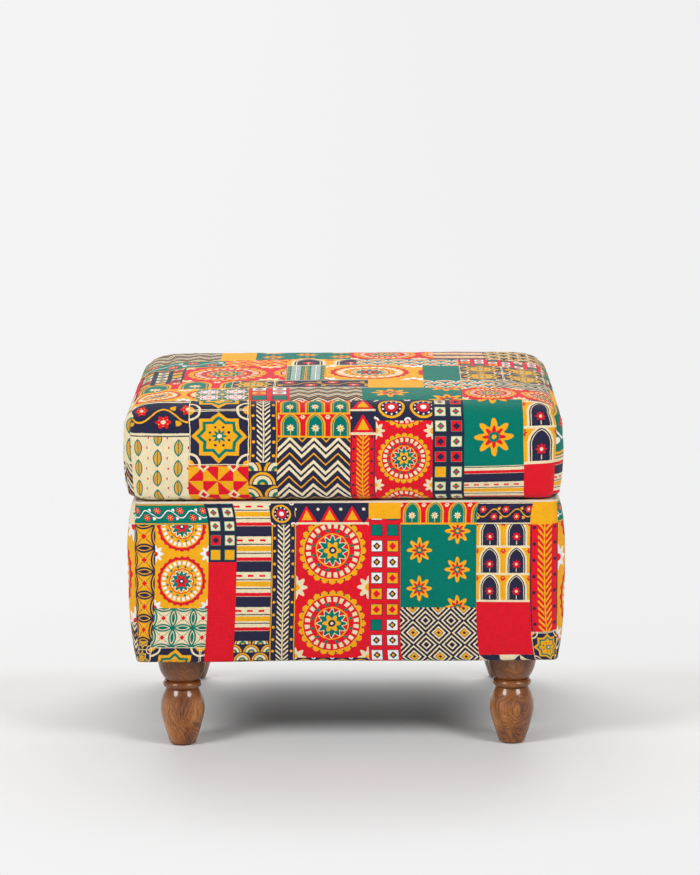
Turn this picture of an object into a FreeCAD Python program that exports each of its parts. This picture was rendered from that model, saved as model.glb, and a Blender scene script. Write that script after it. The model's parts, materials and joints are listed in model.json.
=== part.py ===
import FreeCAD, Part
import math
import os
import re

import Sketcher
from FreeCAD import Placement, Rotation, Vector

# Storage ottoman: an upholstered box on four turned legs, with a padded lid hinged at the rear.
# Millimetres and degrees. +Z is up, the front faces -Y, and the origin is on the floor under the middle.

SIZES = {
    # the whole object
    "overall_width": 559,
    "overall_depth": 457,
    "leg_height": 118,
    "base_height": 210,
    "lid_height": 126,
    # cloth
    "fabric": 1.0,
    "lining_cloth": 1.0,
    "dust_cloth": 0.8,
    "cloth_ease": 0.2,
    "fold_width": 30,
    "rim_fold": 30,
    "rim_reveal": 10,
    "dust_margin": 12,
    "lid_lining_margin": 12,
    # padding of the base and how far the cover is drawn in over it
    "side_pad": 12,
    "rim_pad": 3,
    "foot_pad": 2.5,
    "rim_roll": 45,
    "corner_radius": 27,
    # padding of the lid
    "lid_edge_pad": 16,
    "lid_edge_draw": 14,
    "lid_edge_rise": 45,
    "lid_roll": 30,
    "lid_crown": 4,
    "crown_reach": 100,
    # boards
    "panel_thickness": 16,
    "bottom_thickness": 12,
    "lid_thickness": 12,
    "corner_block": 26,
    # legs
    "leg_side_inset": 65.5,
    "leg_front_inset": 52.5,
    "foot_radius": 17,
    "barrel_radius": 28.6,
    "barrel_belly": 0.66,
    "belly_drop": 10.5,
    "shoulder_radius": 21.5,
    "shoulder_rise": 25.5,
    "neck_radius": 20.4,
    "neck_gap": 1.6,
    "ring_radius": 25.2,
    "ring_depth": 10,
    "bun_radius": 31.2,
    "bun_depth": 30,
    "bun_low_radius": 22.6,
    "bun_top_radius": 30.8,
    "bun_top_drop": 6.2,
    # leg fixings
    "bolt_radius": 4,
    "bolt_in_leg": 35,
    "bolt_short": 1,
    "bolt_clearance": 0.05,
    "nut_radius": 5.2,
    "nut_length": 8,
    "flange_radius": 11,
    "flange_thickness": 1.5,
    "glide_radius": 11,
    "glide_thickness": 2,
    "nail_radius": 1.2,
    "nail_length": 10,
    # wood screws
    "screw_radius": 1.75,
    "head_radius": 3.3,
    "head_depth": 1.8,
    "panel_screw": 40,
    "bottom_screw": 35,
    "hinge_screw": 22,
    "lid_screw": 11,
    "stay_screw": 13,
    "corner_screw_pitch": 60,
    # staples
    "staple_crown": 10,
    "staple_wire": 0.7,
    "staple_leg": 6,
    "staple_margin": 3,
    # hinges
    "hinge_spread": 300,
    "hinge_length": 60,
    "hinge_setback": 3.5,
    "leaf_width": 26,
    "leaf_thickness": 1.2,
    "leaf_clearance": 0.6,
    "leaf_screw_margin": 5,
    "pin_radius": 1.5,
    "pin_head": 1,
    "knuckle_wall": 1.5,
    "knuckle_gap": 0.3,
    "running_clearance": 0.05,
    # lid stays
    "open_angle": 95,
    "stay_radius": 95,
    "stay_pin_angle": 20,
    "stay_drop": 12,
    "stay_width": 16,
    "stay_thickness": 2,
    "stay_side_gap": 0.3,
    "slot_end": 1,
    "slot_clearance": 0.15,
    "stud_radius": 3,
    "stud_shoulder": 4.5,
    "stud_stand": 2.2,
    "stud_head": 6,
    "stud_head_depth": 1.5,
    "plate_thickness": 1.5,
    "plate_length": 34,
    "plate_height": 18,
    "plate_screw_spread": 24,
    "rivet_radius": 2.5,
    "rivet_head": 4.5,
    "rivet_head_depth": 1,
    "tab_radius": 8,
    "flange_length": 36,
    "flange_width": 22,
    "flange_screw_spread": 24,
    # felt buffers on the front rim
    "buffer_radius": 5,
    "buffer_inset": 40,
    "buffer_clearance": 0.2,
}

SIDES = {"left": "-1", "right": "1"}
ENDS = {"front": "-1", "rear": "1"}
KNUCKLES = 5
SCREW_STEPS = (-1, 0, 1)
STAPLE_COLUMNS = 9
STAPLE_ROWS = 7

# How full the bun at the leg's top is: the share of its taper that its curve has made by its middle
BUN_SHARE = 0.25

# Where the soft forms have their sections: shares of a run, or angles round a roll
FOOT_SHARES = (0, 0.1, 0.22, 0.38, 0.6)
FOOT_CURVE = 2.2
RIM_ANGLES = (0, 25, 45, 62, 78, 90)
EDGE_ANGLES = (0, 12, 26, 42, 62, 90)
ROLL_ANGLES = (0, 18, 36, 54, 72, 90)
CROWN_SHARES = (0.3, 0.65, 1)

# Places worked out from the sizes above. Each is the text of a sheet expression.
HALF_X = "overall_width / 2"
HALF_Y = "overall_depth / 2"
BOARD_X = f"({HALF_X} - fabric - side_pad)"
BOARD_Y = f"({HALF_Y} - fabric - side_pad)"
INNER_X = f"({BOARD_X} - panel_thickness)"
INNER_Y = f"({BOARD_Y} - panel_thickness)"
PANEL_MID_X = f"({BOARD_X} - panel_thickness / 2)"
PANEL_MID_Y = f"({BOARD_Y} - panel_thickness / 2)"
BOARD_LOW = "(leg_height + fabric)"
FLOOR = f"({BOARD_LOW} + bottom_thickness)"
RIM = "(leg_height + base_height)"
PANEL_TOP = f"({RIM} - fabric)"
LID_LOW = f"({RIM} + 2 * leaf_thickness + leaf_clearance)"
LID_BOARD_LOW = f"({LID_LOW} + fabric)"
LID_BOARD_TOP = f"({LID_BOARD_LOW} + lid_thickness)"
LID_TOP = f"({LID_LOW} + lid_height)"
LID_BOARD_X = f"({HALF_X} - fabric - lid_edge_pad)"
LID_BOARD_Y = f"({HALF_Y} - fabric - lid_edge_pad)"
LEG_X = f"({HALF_X} - leg_side_inset)"
LEG_Y = f"({HALF_Y} - leg_front_inset)"
LEG_TOP = "(leg_height - dust_cloth)"
AXIS_Y = f"({HALF_Y} - hinge_setback)"
AXIS_Z = f"({RIM} + leaf_thickness + leaf_clearance / 2)"
KNUCKLE = "(pin_radius + running_clearance + knuckle_wall)"
LINING_X = f"({INNER_X} - fabric - lining_cloth)"

# The stay's pivot on the lid and its stud on the base lie on one circle about the hinge axis,
# so the arm turns by exactly half the lid's angle.
PIVOT_ANGLE = "asin(stay_drop / stay_radius)"
STUD_ANGLE = "(stay_pin_angle * 1 deg)"
PIVOT_Y = f"({AXIS_Y} - stay_radius * cos({PIVOT_ANGLE}))"
PIVOT_Z = f"({AXIS_Z} - stay_drop)"
STUD_Y = f"({AXIS_Y} - stay_radius * cos({STUD_ANGLE}))"
STUD_Z = f"({AXIS_Z} - stay_radius * sin({STUD_ANGLE}))"
SLOT_NEAR = f"(2 * stay_radius * sin(({STUD_ANGLE} - {PIVOT_ANGLE}) / 2) - slot_end)"
SLOT_FAR = (
    f"(2 * stay_radius * sin(({STUD_ANGLE} - {PIVOT_ANGLE} + open_angle * 1 deg) / 2) + slot_end)"
)
ARM_LEAN = f"(({STUD_ANGLE} + {PIVOT_ANGLE}) / 2)"
ARM_OUTER = f"({LINING_X} - plate_thickness - stud_stand - stay_side_gap)"
ARM_INNER = f"({ARM_OUTER} - stay_thickness)"
TAB_OUTER = f"({ARM_INNER} - stay_side_gap)"
TAB_INNER = f"({TAB_OUTER} - plate_thickness)"
LID_LINING_LOW = f"({LID_LOW} - lining_cloth)"

TURNS = {
    "+x": Rotation(Vector(0, 1, 0), 90),
    "-x": Rotation(Vector(0, 1, 0), -90),
    "+y": Rotation(Vector(1, 0, 0), -90),
    "-y": Rotation(Vector(1, 0, 0), 90),
    "+z": Rotation(),
    "-z": Rotation(Vector(1, 0, 0), 180),
}

doc = FreeCAD.newDocument("storage_ottoman")
sheet = doc.addObject("Spreadsheet::Sheet", "Sizes")
for row, (alias, size) in enumerate(SIZES.items(), start=1):
    sheet.set(f"A{row}", alias)
    sheet.set(f"B{row}", str(size))
    sheet.setAlias(f"B{row}", alias)
doc.recompute()

nodes = []


# Helpers: expressions, primitives and booleans


def cells(text):
    """Expression text with the sheet's name before each alias."""
    return re.sub(r"[a-z][a-z_]*", lambda word: f"Sizes.{word[0]}" if word[0] in SIZES else word[0], text)


def number(text):
    """The present value of an expression."""
    return float(sheet.evalExpression(cells(text)))


def bind(thing, **texts):
    """Ties properties to expressions."""
    for name, text in texts.items():
        thing.setExpression(name, cells(text))
    return thing


def place(thing, spot):
    """Ties a placement's position to three expressions."""
    for letter, text in zip("xyz", spot):
        thing.setExpression(f".Placement.Base.{letter}", cells(text))
    return thing


def node(name, thing):
    """Makes an object one of the sub-parts."""
    thing.Label = name
    nodes.append(thing)
    return thing


def box(low, high):
    """A block between two corners."""
    block = doc.addObject("Part::Box", "Block")
    length, width, height = (f"({top}) - ({bottom})" for bottom, top in zip(low, high))
    bind(block, Length=length, Width=width, Height=height)
    return place(block, low)


def plate(half_x, half_y, low, high):
    """A block centred on the vertical axis, between two levels."""
    return box((f"-{half_x}", f"-{half_y}", low), (half_x, half_y, high))


def rod(radius, length, start, way="+z"):
    """A cylinder that runs from a point along an axis."""
    cylinder = doc.addObject("Part::Cylinder", "Rod")
    cylinder.Placement = Placement(Vector(), TURNS[way])
    bind(cylinder, Radius=radius, Height=length)
    return place(cylinder, start)


def taper(radius, end_radius, length, start, way="+z"):
    """A cone that runs from a point along an axis."""
    cone = doc.addObject("Part::Cone", "Taper")
    cone.Placement = Placement(Vector(), TURNS[way])
    bind(cone, Radius1=radius, Radius2=end_radius, Height=length)
    return place(cone, start)


def fuse(*shapes):
    """One solid from several that meet."""
    whole = doc.addObject("Part::MultiFuse", "Fuse")
    whole.Shapes = list(shapes)
    whole.Refine = True
    return whole


def group(*shapes):
    """Separate solids in one object."""
    compound = doc.addObject("Part::Compound", "Group")
    compound.Links = list(shapes)
    return compound


def cut(base, *tools):
    """A solid less each tool in turn."""
    for tool in tools:
        less = doc.addObject("Part::Cut", "Cut")
        less.Base = base
        less.Tool = tool
        base = less
    return base


def common(*shapes):
    """What two solids share."""
    shared = doc.addObject("Part::MultiCommon", "Common")
    shared.Shapes = list(shapes)
    return shared


def screw(length, start, way):
    """A countersunk wood screw whose head is flush at the start."""
    head = taper("head_radius", "screw_radius", "head_depth", start, way)
    shank = rod("screw_radius", length, start, way)
    return fuse(head, shank)


# Helpers: sketches


def new_body(name):
    """An empty body with a readable name."""
    return doc.addObject("PartDesign::Body", name)


def new_sketch(body, role, lift="0"):
    """A sketch on one of the body's origin planes, lifted off it by an expression."""
    sketch = body.newObject("Sketcher::SketchObject", "Outline")
    support = next(feature for feature in body.Origin.OriginFeatures if feature.Role == role)
    sketch.AttachmentSupport = (support, [""])
    sketch.MapMode = "FlatFace"
    sketch.setExpression(".AttachmentOffset.Base.z", cells(lift))
    return sketch


def dimension(sketch, text, kind, *where):
    """A sketch dimension that follows an expression."""
    index = sketch.addConstraint(Sketcher.Constraint(kind, *where, number(text)))
    sketch.setExpression(f"Constraints[{index}]", cells(text))


def rounded_rectangle(sketch, half_x, half_y, radius):
    """A centred rectangle with four equal corner arcs."""
    x, y, r = number(half_x), number(half_y), number(radius)
    corners = ((x, -y, -90), (x, y, 0), (-x, y, 90), (-x, -y, 180))
    arcs = []
    for corner_x, corner_y, angle in corners:
        middle = Vector(corner_x - r if corner_x > 0 else corner_x + r, 0, 0)
        middle.y = corner_y - r if corner_y > 0 else corner_y + r
        circle = Part.Circle(middle, Vector(0, 0, 1), r)
        arcs.append(Part.ArcOfCircle(circle, math.radians(angle), math.radians(angle + 90)))
    for index, arc in enumerate(arcs):
        sketch.addGeometry(Part.LineSegment(arcs[index - 1].EndPoint, arc.StartPoint))
        sketch.addGeometry(arc)
    edges = 2 * len(arcs)
    for index in range(edges):
        sketch.addConstraint(Sketcher.Constraint("Tangent", index, 2, (index + 1) % edges, 1))
    for index in (0, 4):
        sketch.addConstraint(Sketcher.Constraint("Horizontal", index))
        sketch.addConstraint(Sketcher.Constraint("Vertical", index + 2))
    dimension(sketch, f"-({half_y})", "DistanceY", -1, 1, 0, 1)
    dimension(sketch, half_x, "DistanceX", -1, 1, 2, 1)
    dimension(sketch, half_y, "DistanceY", -1, 1, 4, 1)
    dimension(sketch, f"-({half_x})", "DistanceX", -1, 1, 6, 1)
    dimension(sketch, radius, "Radius", 1)
    for index in (3, 5, 7):
        sketch.addConstraint(Sketcher.Constraint("Equal", 1, index))


def outline(sketch, corners):
    """A closed outline. A corner is (x, y), or (x, y, (x, y)) where an arc through that point leaves it."""
    spots = [Vector(number(corner[0]), number(corner[1]), 0) for corner in corners]
    starts = []
    for index, corner in enumerate(corners):
        here = spots[index]
        there = spots[(index + 1) % len(corners)]
        if len(corner) == 2:
            starts.append((sketch.addGeometry(Part.LineSegment(here, there)), 1, 2))
            continue
        through = Vector(number(corner[2][0]), number(corner[2][1]), 0)
        arc = Part.Arc(here, through, there)
        edge = sketch.addGeometry(arc)
        forward = sketch.Geometry[edge].StartPoint.distanceToPoint(here) < 1e-6
        starts.append((edge, 1, 2) if forward else (edge, 2, 1))
        point = sketch.addGeometry(Part.Point(through), True)
        dimension(sketch, corner[2][0], "DistanceX", -1, 1, point, 1)
        dimension(sketch, corner[2][1], "DistanceY", -1, 1, point, 1)
        sketch.addConstraint(Sketcher.Constraint("PointOnObject", point, 1, edge))
    for index, (edge, start, end) in enumerate(starts):
        next_edge, next_start, _ = starts[(index + 1) % len(starts)]
        sketch.addConstraint(Sketcher.Constraint("Coincident", edge, end, next_edge, next_start))
        dimension(sketch, corners[index][0], "DistanceX", -1, 1, edge, start)
        dimension(sketch, corners[index][1], "DistanceY", -1, 1, edge, start)


def extrude(name, corners, low, high):
    """A body padded upwards from one level to another."""
    body = new_body(name)
    sketch = new_sketch(body, "XY_Plane", low)
    outline(sketch, corners)
    pad = body.newObject("PartDesign::Pad", "Pad")
    pad.Profile = sketch
    bind(pad, Length=f"({high}) - ({low})")
    return body


def turn(name, corners, spot):
    """A body of revolution about the vertical through a point."""
    body = new_body(name)
    sketch = new_sketch(body, "XZ_Plane")
    outline(sketch, corners)
    revolution = body.newObject("PartDesign::Revolution", "Revolution")
    revolution.Profile = sketch
    revolution.ReferenceAxis = (sketch, ["V_Axis"])
    revolution.Angle = 360
    return place(body, spot)


def well(inset):
    """The corners of the storage well, whose corner blocks cut its corners off at 45 degrees."""
    x = f"({INNER_X} - {inset})"
    y = f"({INNER_Y} - {inset})"
    chamfer = f"(corner_block - {inset} * (2 - sqrt(2)))"
    short_x = f"({x} - {chamfer})"
    short_y = f"({y} - {chamfer})"
    return [
        (f"-{short_x}", f"-{y}"),
        (short_x, f"-{y}"),
        (x, f"-{short_y}"),
        (x, short_y),
        (short_x, y),
        (f"-{short_x}", y),
        (f"-{x}", short_y),
        (f"-{x}", f"-{short_y}"),
    ]


# Soft forms: lofts through rounded rectangles, each drawn in by the padding's profile


def base_profile(low, high):
    """Draw-in, level and corner radius of each section of the base, from its foot to its rim."""
    foot_draw = "(side_pad - foot_pad)"
    rim_draw = "(side_pad - rim_pad)"
    peak = f"({high} - rim_roll)"
    sections = []
    for share in FOOT_SHARES:
        draw = f"({foot_draw} * (1 - {share}) ^ {FOOT_CURVE})"
        sections.append((draw, f"({low} + {share} * ({peak} - {low}))"))
    for angle in RIM_ANGLES:
        draw = f"({rim_draw} * (1 - cos({angle} deg)))"
        sections.append((draw, f"({peak} + rim_roll * sin({angle} deg))"))
    return [(draw, level, f"(corner_radius * (1 - {draw} / side_pad))") for draw, level in sections]


def lid_profile(low, high):
    """Draw-in, level and corner radius of each section of the lid, from its underside to its crown."""
    roll_low = f"({high} - lid_crown - lid_roll)"
    sections = []
    for angle in EDGE_ANGLES:
        draw = f"(lid_edge_draw * (1 - sin({angle} deg)))"
        level = f"({low} + lid_edge_rise * (1 - cos({angle} deg)))"
        sections.append((draw, level, f"(corner_radius * (1 - {draw} / lid_edge_pad))"))
    for angle in ROLL_ANGLES:
        draw = f"(lid_roll * (1 - cos({angle} deg)))"
        level = f"({roll_low} + lid_roll * sin({angle} deg))"
        sections.append((draw, level, f"(corner_radius + {draw} / 2)"))
    for share in CROWN_SHARES:
        draw = f"(lid_roll + crown_reach * {share})"
        level = f"({high} - lid_crown * (1 - {share}) ^ 2)"
        sections.append((draw, level, "(corner_radius + lid_roll / 2)"))
    return sections


def loft(body, kind, sections, offset):
    """Adds or takes away a loft through the sections, each set in by the offset."""
    sketches = []
    for draw, level, radius in sections:
        sketch = new_sketch(body, "XY_Plane", level)
        inset = f"({offset} + {draw})"
        rounded_rectangle(sketch, f"({HALF_X} - {inset})", f"({HALF_Y} - {inset})", radius)
        sketches.append(sketch)
    doc.recompute()
    feature = body.newObject(kind, "Loft")
    feature.Profile = sketches[0]
    feature.Sections = sketches[1:]
    feature.Ruled = True


def soft_shell(name, profile, low, high):
    """A sewn cover: the outer form less the same form one cloth thickness further in."""
    body = new_body(name)
    loft(body, "PartDesign::AdditiveLoft", profile(low, high), "0")
    doc.recompute()
    inside = profile(f"({low} + fabric)", f"({high} - fabric)")
    loft(body, "PartDesign::SubtractiveLoft", inside, "fabric")
    return body


def soft_block(name, profile, low, high):
    """The padding's form, a little smaller than the inside of its cover."""
    body = new_body(name)
    loft(body, "PartDesign::AdditiveLoft", profile(low, high), "(fabric + cloth_ease)")
    return body


# Screws


def corner_screws():
    """Three screws through each end of the front and rear panels into the side panels."""
    screws = []
    middle = f"(({FLOOR} + {PANEL_TOP}) / 2)"
    for end, way in (("-1", "+y"), ("1", "-y")):
        for side in SIDES.values():
            for step in SCREW_STEPS:
                level = f"{middle} + {step} * corner_screw_pitch"
                spot = (f"{side} * {PANEL_MID_X}", f"{end} * {BOARD_Y}", level)
                screws.append(screw("panel_screw", spot, way))
    return node("panel_screws", group(*screws))


def board_screws():
    """Screws up through the bottom board into the lower edges of the four panels."""
    screws = []
    for end in ENDS.values():
        for step in SCREW_STEPS:
            spot = (f"{step} * {BOARD_X} * 2 / 3", f"{end} * {PANEL_MID_Y}", BOARD_LOW)
            screws.append(screw("bottom_screw", spot, "+z"))
    for side in SIDES.values():
        for end in ENDS.values():
            spot = (f"{side} * {PANEL_MID_X}", f"{end} * {INNER_Y} / 2", BOARD_LOW)
            screws.append(screw("bottom_screw", spot, "+z"))
    return node("bottom_screws", group(*screws))


def hinge_middles():
    """The middle of each hinge along X."""
    return {side: f"({sign} * hinge_spread / 2)" for side, sign in SIDES.items()}


def hinge_screws(name, y, z, length, way):
    """Three screws in each leaf of one kind."""
    screws = []
    for middle in hinge_middles().values():
        for step in SCREW_STEPS:
            screws.append(screw(length, (f"{middle} + {step} * hinge_length / 3", y, z), way))
    return node(name, group(*screws))


def stay_base_screws():
    """Two screws through each stay's base plate into the side panel."""
    screws = []
    for side, way in (("-1", "-x"), ("1", "+x")):
        for step in (-1, 1):
            spot = (
                f"{side} * ({LINING_X} - plate_thickness)",
                f"{STUD_Y} + {step} * plate_screw_spread / 2",
                STUD_Z,
            )
            screws.append(screw("stay_screw", spot, way))
    return node("stay_base_screws", group(*screws))


def stay_lid_screws():
    """Two screws through each stay's lid bracket into the lid board."""
    screws = []
    for side in SIDES.values():
        for step in (-1, 1):
            spot = (
                f"{side} * ({TAB_OUTER} - flange_width / 2 - plate_thickness)",
                f"{PIVOT_Y} + {step} * flange_screw_spread / 2",
                f"{LID_LINING_LOW} - plate_thickness",
            )
            screws.append(screw("lid_screw", spot, "+z"))
    return node("stay_lid_screws", group(*screws))


# Legs


def leg_spots():
    """The name of each leg's corner, and its place."""
    spots = {}
    for end, end_sign in ENDS.items():
        for side, side_sign in SIDES.items():
            spots[f"{end}_{side}"] = (f"{side_sign} * {LEG_X}", f"{end_sign} * {LEG_Y}")
    return spots


def leg_outline():
    """Half the turned leg, with the bolt's hole at its top and the glide nail's at its foot."""
    foot = "glide_thickness"
    bun_low = f"({LEG_TOP} - bun_depth)"
    ring_high = f"({bun_low} - neck_gap)"
    ring_low = f"({ring_high} - ring_depth)"
    shoulder = f"({ring_low} - neck_gap)"
    peak = f"({shoulder} - shoulder_rise)"
    shoulder_draw = "(barrel_radius - shoulder_radius)"
    curve = f"(({shoulder_draw} ^ 2 + shoulder_rise ^ 2) / (2 * {shoulder_draw}))"
    belly_top = f"({peak} - belly_drop)"
    belly_radius = f"(barrel_radius - {curve} + sqrt({curve} ^ 2 - belly_drop ^ 2))"
    belly = (f"(foot_radius + {belly_radius}) / 2 + barrel_belly", f"({foot} + {belly_top}) / 2")
    bun_peak = f"({LEG_TOP} - bun_top_drop)"
    bun_bulge = f"bun_radius - (bun_radius - bun_low_radius) * {BUN_SHARE}"
    bun_curve = (bun_bulge, f"({bun_low} + {bun_peak}) / 2")
    bolt_hole = "(bolt_radius + bolt_clearance)"
    bolt_end = f"({LEG_TOP} - bolt_in_leg - bolt_short)"
    nail_hole = "(nail_radius + bolt_clearance)"
    nail_end = f"({foot} + nail_length + bolt_short)"
    return [
        (nail_hole, foot),
        ("foot_radius", foot, belly),
        (belly_radius, belly_top, ("barrel_radius", peak)),
        ("shoulder_radius", shoulder),
        ("neck_radius", ring_low, ("ring_radius", f"({ring_low} + {ring_high}) / 2")),
        ("neck_radius", ring_high),
        ("bun_low_radius", bun_low, bun_curve),
        ("bun_radius", bun_peak),
        ("bun_top_radius", LEG_TOP),
        (bolt_hole, LEG_TOP),
        (bolt_hole, bolt_end),
        ("0", bolt_end),
        ("0", nail_end),
        (nail_hole, nail_end),
    ]


def leg_fixings():
    """Hanger bolts, tee nuts and glides, one of each for every leg."""
    bolts, nuts, glides = [], [], []
    bolt_length = f"({FLOOR} - bolt_short - {LEG_TOP} + bolt_in_leg)"
    nut_top = f"({FLOOR} - flange_thickness)"
    for x, y in leg_spots().values():
        bolts.append(rod("bolt_radius", bolt_length, (x, y, f"{LEG_TOP} - bolt_in_leg")))
        barrel = rod("nut_radius", "nut_length + flange_thickness / 2", (x, y, f"{nut_top} - nut_length"))
        flange = rod("flange_radius", "flange_thickness", (x, y, nut_top))
        bore = rod("bolt_radius + bolt_clearance", "bottom_thickness", (x, y, BOARD_LOW))
        nuts.append(cut(fuse(barrel, flange), bore))
        disc = rod("glide_radius", "glide_thickness", (x, y, "0"))
        nail = rod("nail_radius", "nail_length + glide_thickness", (x, y, "0"))
        glides.append(fuse(disc, nail))
    return (
        node("leg_hanger_bolts", group(*bolts)),
        node("leg_tee_nuts", group(*nuts)),
        node("leg_glides", group(*glides)),
    )


def bolt_holes(low, high):
    """Clearance holes for the four leg bolts between two levels."""
    holes = []
    for x, y in leg_spots().values():
        holes.append(rod("nut_radius", f"({high}) - ({low})", (x, y, low)))
    return group(*holes)


# Staples


def upright(x, y, size_x, size_y, low, high):
    """A block centred on a point, between two levels."""
    corner = (f"{x} - {size_x} / 2", f"{y} - {size_y} / 2", low)
    return box(corner, (f"{x} + {size_x} / 2", f"{y} + {size_y} / 2", high))


def staple(x, y, along_x, level):
    """A staple driven up from a level, its crown along X or along Y."""
    crown_x, crown_y = ("staple_crown", "staple_wire") if along_x else ("staple_wire", "staple_crown")
    solids = [upright(x, y, crown_x, crown_y, f"{level} - staple_wire", level)]
    for step in (-1, 1):
        shift = f"{step} * (staple_crown - staple_wire) / 2"
        leg_x, leg_y = (f"({x} + {shift})", y) if along_x else (x, f"({y} + {shift})")
        bottom = f"{level} - staple_wire / 2"
        solids.append(upright(leg_x, leg_y, "staple_wire", "staple_wire", bottom, f"{level} + staple_leg"))
    return fuse(*solids)


def staples(name, edge, reach, level):
    """Rows of staples along the four edges of a sheet that hangs under a board."""
    row_x = f"({edge[0]} - staple_margin)"
    row_y = f"({edge[1]} - staple_margin)"
    wires = []
    for column in range(STAPLE_COLUMNS):
        share = 2 * column / (STAPLE_COLUMNS - 1) - 1
        for end in ENDS.values():
            wires.append(staple(f"({share} * {reach[0]})", f"({end} * {row_y})", True, level))
    for line in range(STAPLE_ROWS):
        share = 2 * line / (STAPLE_ROWS - 1) - 1
        for side in SIDES.values():
            wires.append(staple(f"({side} * {row_x})", f"({share} * {reach[1]})", False, level))
    return node(name, group(*wires))


# Hinges


def hinge_leaf(name, middle, owned, low, screws):
    """A leaf with its knuckles, drilled for the pin and countersunk for its screws."""
    high = f"({low} + leaf_thickness)"
    left = f"({middle} - hinge_length / 2)"
    right = f"({middle} + hinge_length / 2)"
    relief = f"({AXIS_Y} - {KNUCKLE} - knuckle_gap)"
    solids = [box((left, f"{AXIS_Y} - leaf_width", low), (right, relief, high))]
    for index in owned:
        start = f"({left} + {index} * hinge_length / {KNUCKLES} + knuckle_gap / 2)"
        length = f"(hinge_length / {KNUCKLES} - knuckle_gap)"
        solids.append(box((start, f"{relief} - knuckle_wall", low), (f"{start} + {length}", AXIS_Y, high)))
        solids.append(rod(KNUCKLE, length, (start, AXIS_Y, AXIS_Z), "+x"))
    bore = rod("pin_radius + running_clearance", "hinge_length", (left, AXIS_Y, AXIS_Z), "+x")
    return node(name, cut(fuse(*solids), bore, screws))


def hinge_pin(name, middle):
    """A pin with a head at each end."""
    left = f"{middle} - hinge_length / 2"
    right = f"{middle} + hinge_length / 2"
    shaft = rod("pin_radius", "hinge_length + pin_head", (f"{left} - pin_head / 2", AXIS_Y, AXIS_Z), "+x")
    near = rod(KNUCKLE, "pin_head", (f"{left} - pin_head", AXIS_Y, AXIS_Z), "+x")
    far = rod(KNUCKLE, "pin_head", (right, AXIS_Y, AXIS_Z), "+x")
    return node(name, fuse(shaft, near, far))


# Lid stays


def side_rod(sign, radius, outer, length, y, z):
    """A rod square to a side wall, from a distance off the middle plane inwards."""
    return rod(radius, length, (f"{sign} * ({outer})", y, z), "+x" if sign == "-1" else "-x")


def side_slab(sign, outer, thickness, y, length, z, height):
    """A block against a side wall, from a distance off the middle plane inwards."""
    near = f"({outer} - ({thickness}))"
    low_x, high_x = (f"-({outer})", f"-{near}") if sign == "-1" else (near, outer)
    low = (low_x, f"{y} - ({length}) / 2", f"{z} - ({height}) / 2")
    high = (high_x, f"{y} + ({length}) / 2", f"{z} + ({height}) / 2")
    return box(low, high)


def stay_base_plate(sign, screws):
    """A round-ended plate on the lining, with the shouldered stud that runs in the arm's slot."""
    straight = "(plate_length - plate_height)"
    face = f"({LINING_X} - plate_thickness)"
    solids = [side_slab(sign, LINING_X, "plate_thickness", STUD_Y, straight, STUD_Z, "plate_height")]
    for step in (-1, 1):
        end = f"({STUD_Y} + {step} * {straight} / 2)"
        solids.append(side_rod(sign, "plate_height / 2", LINING_X, "plate_thickness", end, STUD_Z))
    solids.append(side_rod(sign, "stud_shoulder", face, "stud_stand", STUD_Y, STUD_Z))
    solids.append(side_rod(sign, "stud_radius", face, f"{face} - {TAB_OUTER}", STUD_Y, STUD_Z))
    solids.append(side_rod(sign, "stud_head", TAB_OUTER, "stud_head_depth", STUD_Y, STUD_Z))
    return cut(fuse(*solids), screws)


def stay_rivet(sign):
    """The rivet that the arm turns on, with a head at each end."""
    outer_face = f"({ARM_OUTER} + stay_side_gap + rivet_head_depth)"
    inner_face = f"({TAB_INNER} - rivet_head_depth)"
    shaft = side_rod(sign, "rivet_radius", outer_face, f"{outer_face} - {inner_face}", PIVOT_Y, PIVOT_Z)
    outer_head = side_rod(sign, "rivet_head", outer_face, "rivet_head_depth", PIVOT_Y, PIVOT_Z)
    inner_head = side_rod(sign, "rivet_head", TAB_INNER, "rivet_head_depth", PIVOT_Y, PIVOT_Z)
    return fuse(shaft, outer_head, inner_head)


def stay_lid_bracket(sign, rivet, screws):
    """An angle under the lid, whose ear carries the arm's rivet."""
    drop = f"({LID_LINING_LOW} - {PIVOT_Z})"
    web_middle = f"({PIVOT_Z} + {drop} / 2)"
    flange_middle = f"({LID_LINING_LOW} - plate_thickness / 2)"
    ear = side_rod(sign, "tab_radius", TAB_OUTER, "plate_thickness", PIVOT_Y, PIVOT_Z)
    web = side_slab(sign, TAB_OUTER, "plate_thickness", PIVOT_Y, "2 * tab_radius", web_middle, drop)
    flange = side_slab(
        sign, TAB_OUTER, "flange_width", PIVOT_Y, "flange_length", flange_middle, "plate_thickness"
    )
    return cut(fuse(ear, web, flange), rivet, screws)


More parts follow.
